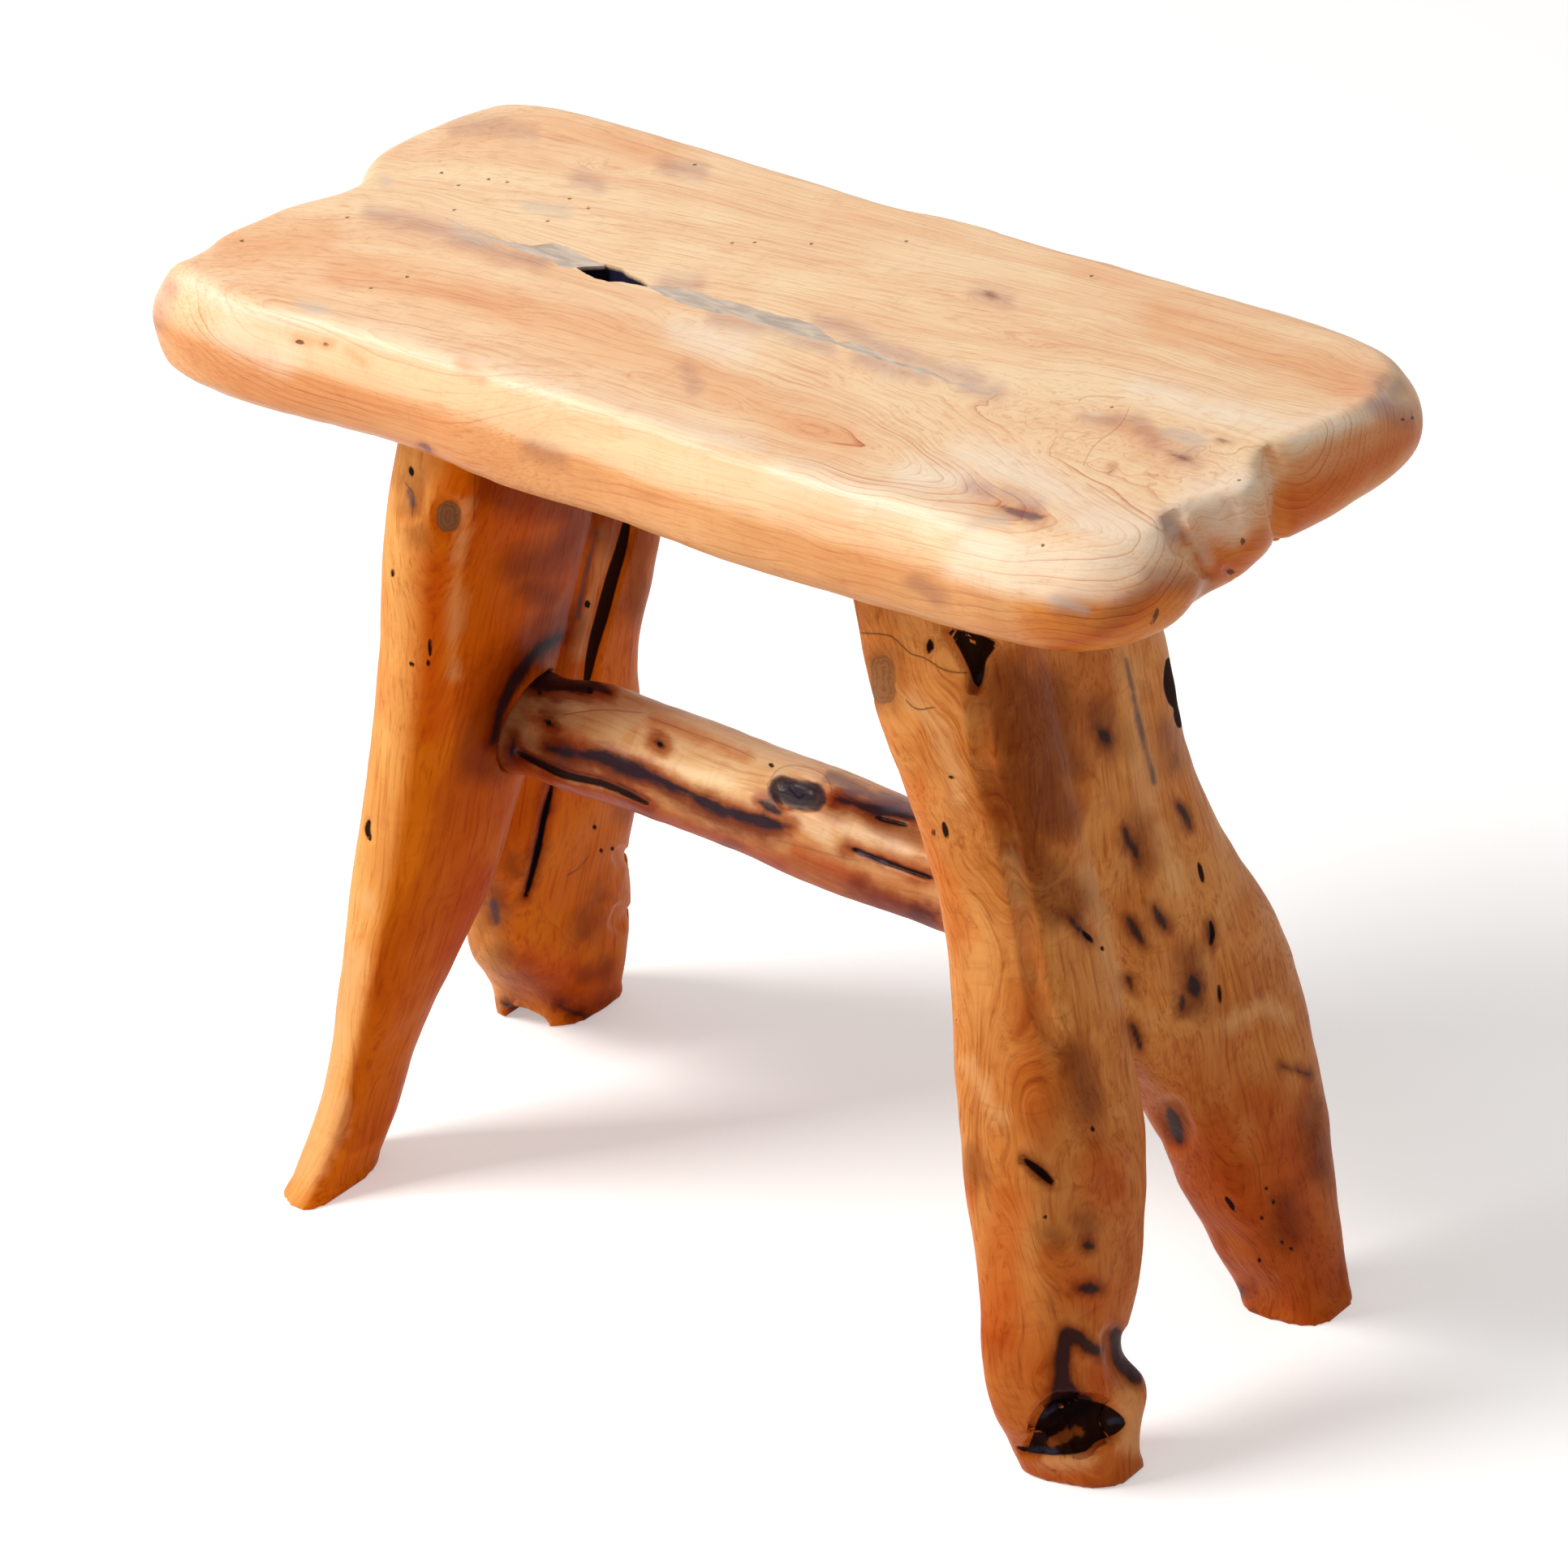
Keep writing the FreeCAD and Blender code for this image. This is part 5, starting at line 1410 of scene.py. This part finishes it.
# %% The pale slab
# patch, blot: sizes of wide patches and of small blots. fibre: a bundle's width and length. ring,
# sway: from one ring to the next, and how far rings wander. band, fibre, line, curl: how strongly
# each shows. relief, shine, sheen, varnish: bump, highlight, the highlight's colour, and the coat
LINES = ("lines", 0, 0, 0, 0, "", "")
# Sawn and finely sanded sapwood, under satin varnish: straw and peach, with a soft low sheen
SEAT_WOOD = {
    "light": "#fedbae", "middle": "#f8c899", "warm": "#f0b483", "dark": "#c9783e",
    "amber": "#e2a656", "patch_mm": 60, "fibre_mm": 1.2, "fibre_long_mm": 48, "ring_mm": 3.1,
    "sway": 0.5, "blot_mm": 9, "band": 0.55, "fibre": 0.33, "line": 0.55, "curl_mm": 7,
    # the crack colour #262238 is painted shade, tinted violet as a painted reflection
    "curl": 0.4, "relief": 0.3, "knot": "#a87a5c", "knot_rim": "#5b331b", "shaded": "#262238",
    "vein": "#b9733e", "vein_share": 0.32, "shine": 0.12, "sheen": "#ffe9d2", "varnish": 0.08,
    "marks": (
        ("peach", -8.0, 10.0, 4.0, 0.6, "#f2c6a2", "MULTIPLY"),
        # lighter wood, and painted highlights on lit edges
        ("pale", -6.0, 9.0, 3.0, 0.5, "#fff2dc", "MIX"),
        # painted light on the front bevel
        ("facet", -1.5, 0.6, 1.2, 0.5, "#f6c898", "MIX"),
        ("ember", -2.5, 4.0, 3.0, 0.6, "#e6a066", "MULTIPLY"),
        # painted highlights on the burl's ridges
        ("rim", 0.0, 1.6, 1.0, 0.3, "#fbe4d0", "MIX"),
        LINES,
        ("haze", -3.5, 5.5, 3.2, 0.85, "#d6cde0", "MULTIPLY"),
        # grey stains, and a painted sheen at the front right corner
        ("blue", -2.5, 3.5, 2.6, 0.5, "#c8bcae", "MIX"),
        ("burn", -0.5, 3.0, 2.4, 0.5, "#c8946c", "MULTIPLY"),
        ("burn", -0.8, 0.7, 1.2, 0.75, "#64404a", "MIX"),
        ("check", 0.2, 0.75, 0.15, 0.8, "#542c1c", "MIX"),
    ),
}
slab_finish = varnished_wood("satin_varnished_slab_wood", SEAT_WOOD)

# %% The orange legs
LEG_MARKS = (
    # painted shade on faces turned from the lamp
    ("facet", -2.5, 0.8, 2.0, 0.6, "#dcbfa2", "MULTIPLY"),
    # lighter wood, and painted highlights on lit edges
    ("pale", -3.0, 5.0, 4.0, 0.5, "#efb274", "MIX"),
    ("ember", -4.0, 8.0, 6.0, 0.6, "#eeac5a", "MULTIPLY"),
    # grey stains, and painted shade under the seat and by the crease
    ("haze", -5.0, 8.0, 4.5, 0.9, "#b6a8a8", "MULTIPLY"),
    LINES,
    # dark bark, and painted shadow round the pole's end
    ("burn", -1.0, 5.0, 3.0, 0.8, "#a07454", "MULTIPLY"),
    ("burn", -1.3, 0.8, 1.4, 0.92, "#21151a", "MIX"),
    ("check", -0.1, 0.6, 0.2, 0.97, "#0d070b", "MIX"),
    ("core", -1.0, 0.8, 2.0, 0.9, "#8a4418", "MIX"),
    # blue grey stains, and a painted sheen on the hollow's rims
    ("blue", -1.0, 1.2, 1.2, 0.75, "#3c3e50", "MIX"),
)
# Straight heartwood with a sawn face, oiled orange under the varnish, nearly without highlights
LEFT_WOOD = {
    "light": "#f2ae60", "middle": "#e8964c", "warm": "#d88032", "dark": "#bf7a42",
    "amber": "#f0b23a", "patch_mm": 50, "fibre_mm": 1.4, "fibre_long_mm": 60, "ring_mm": 4.6,
    "sway": 1.0, "blot_mm": 9, "band": 0.6, "fibre": 0.5, "line": 0.35, "curl_mm": 9, "curl": 0.45,
    "relief": 0.4, "knot": "#8c5f3e", "knot_rim": "#452414", "shaded": "#120909", "vein": "#6a3410",
    "vein_share": 0.5, "shine": 0.03, "sheen": "#ff9a4c", "varnish": 0.0, "marks": LEG_MARKS,
}
# Burl, sanded over its swirls: browner, patchy at the size of a thumb, with a faint warm sheen
RIGHT_WOOD = {
    "light": "#e8a058", "middle": "#d8843c", "warm": "#c06b28", "dark": "#b06a38",
    "amber": "#d08c40", "patch_mm": 26, "fibre_mm": 1.4, "fibre_long_mm": 30, "ring_mm": 5.8,
    "sway": 1.8, "blot_mm": 8, "band": 0.75, "fibre": 0.55, "line": 0.22, "curl_mm": 8,
    "curl": 0.8, "relief": 0.5, "knot": "#946038", "knot_rim": "#4a2412", "shaded": "#120909",
    "vein": "#4c2410", "vein_share": 0.65, "shine": 0.07, "sheen": "#ffab68", "varnish": 0.01,
    "marks": LEG_MARKS,
}
left_finish = varnished_wood("satin_varnished_left_log", LEFT_WOOD)
right_finish = varnished_wood("satin_varnished_right_log", RIGHT_WOOD)

# %% The stained pole
# A peeled branch, hardly sanded: cream where it is clean, violet black where the bark bled
POLE_WOOD = {
    "light": "#eac894", "middle": "#dda468", "warm": "#c2783c", "dark": "#b8744a",
    "amber": "#d48a44", "patch_mm": 30, "fibre_mm": 1.6, "fibre_long_mm": 40, "ring_mm": 7.0,
    "sway": 1.2, "blot_mm": 9, "band": 0.8, "fibre": 0.4, "line": 0.3, "curl_mm": 8, "curl": 0.5,
    "relief": 0.35, "knot": "#181e30", "knot_rim": "#0a0a12", "shaded": "#120909", "vein": "#8c5228",
    "vein_share": 0.35, "shine": 0.1, "sheen": "#ffd8b8", "varnish": 0.06,
    "marks": (
        ("pale", -2.0, 4.0, 3.0, 0.42, "#f2d8b2", "MIX"),
        ("ember", -2.0, 5.0, 3.0, 0.7, "#e08c48", "MULTIPLY"),
        # grey stains, and painted shade by the left socket
        ("haze", -3.0, 6.0, 4.0, 0.8, "#b08a74", "MULTIPLY"),
        LINES,
        # bark stain, and painted shade at the left end
        ("burn", 1.0, 6.0, 3.0, 0.85, "#b8703a", "MULTIPLY"),
        ("burn", -1.6, 1.4, 2.2, 0.95, "#1e1220", "MIX"),
        ("check", 0.0, 0.6, 0.2, 0.95, "#1a0d0a", "MIX"),
        ("blue", -1.0, 1.5, 1.8, 0.6, "#4c546c", "MIX"),
    ),
}
pole_finish = varnished_wood("satin_varnished_peeled_pole", POLE_WOOD)

# %% Put the finishes on
for piece, finish in (
    (seat, slab_finish), (left, left_finish), (right_leg, right_finish), (pole, pole_finish),
):
    piece.data.materials.clear()
    piece.data.materials.append(finish)
print("finishes:", [piece.data.materials[0].name for piece in (seat, left, right_leg, pole)])

# %% [markdown]
# ## Resin and bare hardwood
# The filler in the crack is clear epoxy, but it was poured over dust and old bark, so the eye sees
# a tan grey film with paler streaks. Real transmission would need a modelled crack bottom and long
# renders, so the film's colour goes on the surface, and only the sides, which would be seen
# through the pocket, are painted dark as shade. The hidden dowels and wedges are turned beech,
# glued in and never varnished.

# %% Resin
STREAK_MM = (16.667, 3.846, 3.846)


def casting_resin():
    """Cured epoxy over dust and bark: tan grey with paler streaks, hardly glossy, and painted dark
    as shade down its sides.
    """
    material, tree = empty_material("cast_epoxy_over_dust")
    here = add(tree, "TexCoord", {}, "Object")
    scale = [1 / (size * MM) for size in STREAK_MM]
    stretched = add(tree, "Mapping", {"Vector": here, "Scale": scale})
    noise_of = {"Vector": stretched, "Scale": 1.0, "Detail": 4.0, "Distortion": 0.8}
    streak = add(tree, "TexNoise", noise_of)
    share = add(tree, "MapRange", {"Value": streak, "From Min": 0.35, "From Max": 0.65})
    tints = {0: share, UNDER: colour("#b4a08e"), OVER: colour("#dcc4ae")}
    body = add(tree, "Mix", tints, MIXED, data_type="RGBA")
    # Painted shade: the sides below the top turn near black, as deep in the crack
    height = add(tree, "SeparateXYZ", {0: here}, "Z")
    span = {"Value": height, "From Min": (SEAT_TOP - 0.5) * MM, "From Max": (SEAT_TOP - 2) * MM}
    under = add(tree, "MapRange", span)
    tints = {0: under, UNDER: body, OVER: colour("#15111a")}
    body = add(tree, "Mix", tints, MIXED, data_type="RGBA")
    relief = {"Height": streak, "Strength": 0.3, "Distance": 0.6 * MM}
    skin = add(tree, "BsdfPrincipled", {
        "Base Color": body, "Roughness": 0.24, "Normal": add(tree, "Bump", relief), "IOR": 1.5,
        "Specular IOR Level": 0.2, "Coat Weight": 0.06, "Coat Roughness": 0.05,
    })
    add(tree, "OutputMaterial", {"Surface": skin}, None)
    return material


resin = casting_resin()
for casting in (resin_left, resin_right):
    casting.data.materials.append(resin)
print(f"the resin's streaks are {STREAK_MM[0]:.0f} mm long and {STREAK_MM[1]:.0f} mm wide")

# %% Beech
# Beech flecks are a few millimetres long and half as wide as drawn here, where they still show
FLECK_MM = (1.111, 1.111, 8.333)


def turned_beech():
    """Bare beech, turned smooth: pale and even, with short dark flecks and no gloss."""
    material, tree = empty_material("turned_bare_beech")
    here = add(tree, "TexCoord", {}, "Object")
    scale = [1 / (size * MM) for size in FLECK_MM]
    shrunk = add(tree, "Mapping", {"Vector": here, "Scale": scale})
    fleck = add(tree, "TexNoise", {"Vector": shrunk, "Scale": 1.0, "Detail": 3.0})
    share = add(tree, "MapRange", {"Value": fleck, "From Min": 0.55, "From Max": 0.75})
    tints = {0: share, UNDER: colour("#dcb98c"), OVER: colour("#a8794c")}
    body = add(tree, "Mix", tints, MIXED, data_type="RGBA")
    relief = add(tree, "Bump", {"Height": fleck, "Strength": 0.2, "Distance": 0.2 * MM})
    skin = add(tree, "BsdfPrincipled", {"Base Color": body, "Roughness": 0.55, "Normal": relief})
    add(tree, "OutputMaterial", {"Surface": skin}, None)
    return material


beech = turned_beech()
bare = [node for node in sorted(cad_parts) if "dowel" in node or "wedge" in node]
for node_name in bare:
    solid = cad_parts[node_name]
    solid.data.materials.clear()
    solid.data.materials.append(beech)
print("bare beech:", bare)

# %% [markdown]
# ## Joining the pieces to the frame
# The bench is glued into one rigid body, so each new skin rides on the root and stands for the
# solid that it was made from, which is hidden. The dowels and wedges stay as they were imported.

# %% Ride and replace
for piece, node_name, slot in (
    (seat, "seat_slab", "seat_wood"), (left, "left_leg", "leg_wood"),
    (right_leg, "right_leg", "leg_wood"), (pole, "stretcher", "pole_wood"),
    (resin_left, "crack_resin_left", "resin"), (resin_right, "crack_resin_right", "resin"),
):
    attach(piece, "root")
    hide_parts(node_name)
    print(piece.name, "stands for", node_name)

# %% [markdown]
# ## Studio
# The picture has no background. A plain white floor in lamp light would come out grey towards its
# edges, and more light would bleach the bench. So the floor and the world are white to the camera
# by Light Path, while the bench is lit by a dimmer world and two lamps, and the floor keeps the
# soft shadow. One large lamp stands at the front left, above the seat, which is why the left
# bevels are bright and the right faces are dark. A weak one fills in from the right.

# %% The paper floor
FLOOR_METRES = 12
FLOOR_LIFT = 0.35   # glow that brings the lit paper up to full white for the camera


def white_to_eye(tree, strength):
    """This strength for rays that come from the camera, a reflection or a see-through piece."""
    seen = 0.0
    for path in ("Is Camera Ray", "Is Glossy Ray", "Is Transmission Ray"):
        ray = add(tree, "LightPath", {}, path)
        seen = add(tree, "Math", {0: seen, 1: ray}, operation="MAXIMUM")
    return add(tree, "Math", {0: seen, 1: strength}, operation="MULTIPLY")


shape = bmesh.new()
bmesh.ops.create_grid(shape, x_segments=1, y_segments=1, size=FLOOR_METRES / 2)
floor_mesh = bpy.data.meshes.new("floor")
shape.to_mesh(floor_mesh)
shape.free()
floor = bpy.data.objects.new("floor", floor_mesh)
bpy.context.scene.collection.objects.link(floor)

# Matt white paper: it takes a shadow, and never shines
paper, tree = empty_material("matt_white_paper")
sheet = add(tree, "BsdfDiffuse", {"Color": colour("#f4f3f0")})
lift = {"Color": colour("#ffffff"), "Strength": white_to_eye(tree, FLOOR_LIFT)}
both = add(tree, "AddShader", {0: sheet, 1: add(tree, "Emission", lift)})
add(tree, "OutputMaterial", {"Surface": both}, None)
floor_mesh.materials.append(paper)
print("the floor is", FLOOR_METRES, "m wide")

# %% The world
WORLD_LIGHT = 0.38
world = bpy.data.worlds.new("studio")
bpy.context.scene.world = world
world.use_nodes = True
tree = world.node_tree
tree.nodes.clear()
soft = add(tree, "Background", {"Color": colour("#ffffff"), "Strength": WORLD_LIGHT})
white = add(tree, "Background", {"Color": colour("#ffffff"), "Strength": 1.0})
sky = add(tree, "MixShader", {0: white_to_eye(tree, 1.0), 1: soft, 2: white})
add(tree, "OutputWorld", {"Surface": sky}, None)
print("the world gives", WORLD_LIGHT, "of full white")

# %% Lamps
BENCH_MIDDLE = Vector((0, 0, 0.25))


def lamp(name, place, size, watts):
    """A square soft lamp that looks at the bench."""
    light = bpy.data.lights.new(name, "AREA")
    light.size = size
    light.energy = watts
    body = bpy.data.objects.new(name, light)
    body.location = place
    body.rotation_euler = (BENCH_MIDDLE - Vector(place)).to_track_quat("-Z", "Y").to_euler()
    bpy.context.scene.collection.objects.link(body)
    print(name, "lamp:", watts, "W,", size, "m wide")


lamp("key", (-1.9, -2.0, 2.7), 1.4, 120)
lamp("fill", (2.6, -1.6, 1.4), 2.0, 5)
bpy.context.scene.view_settings.view_transform = "Standard"
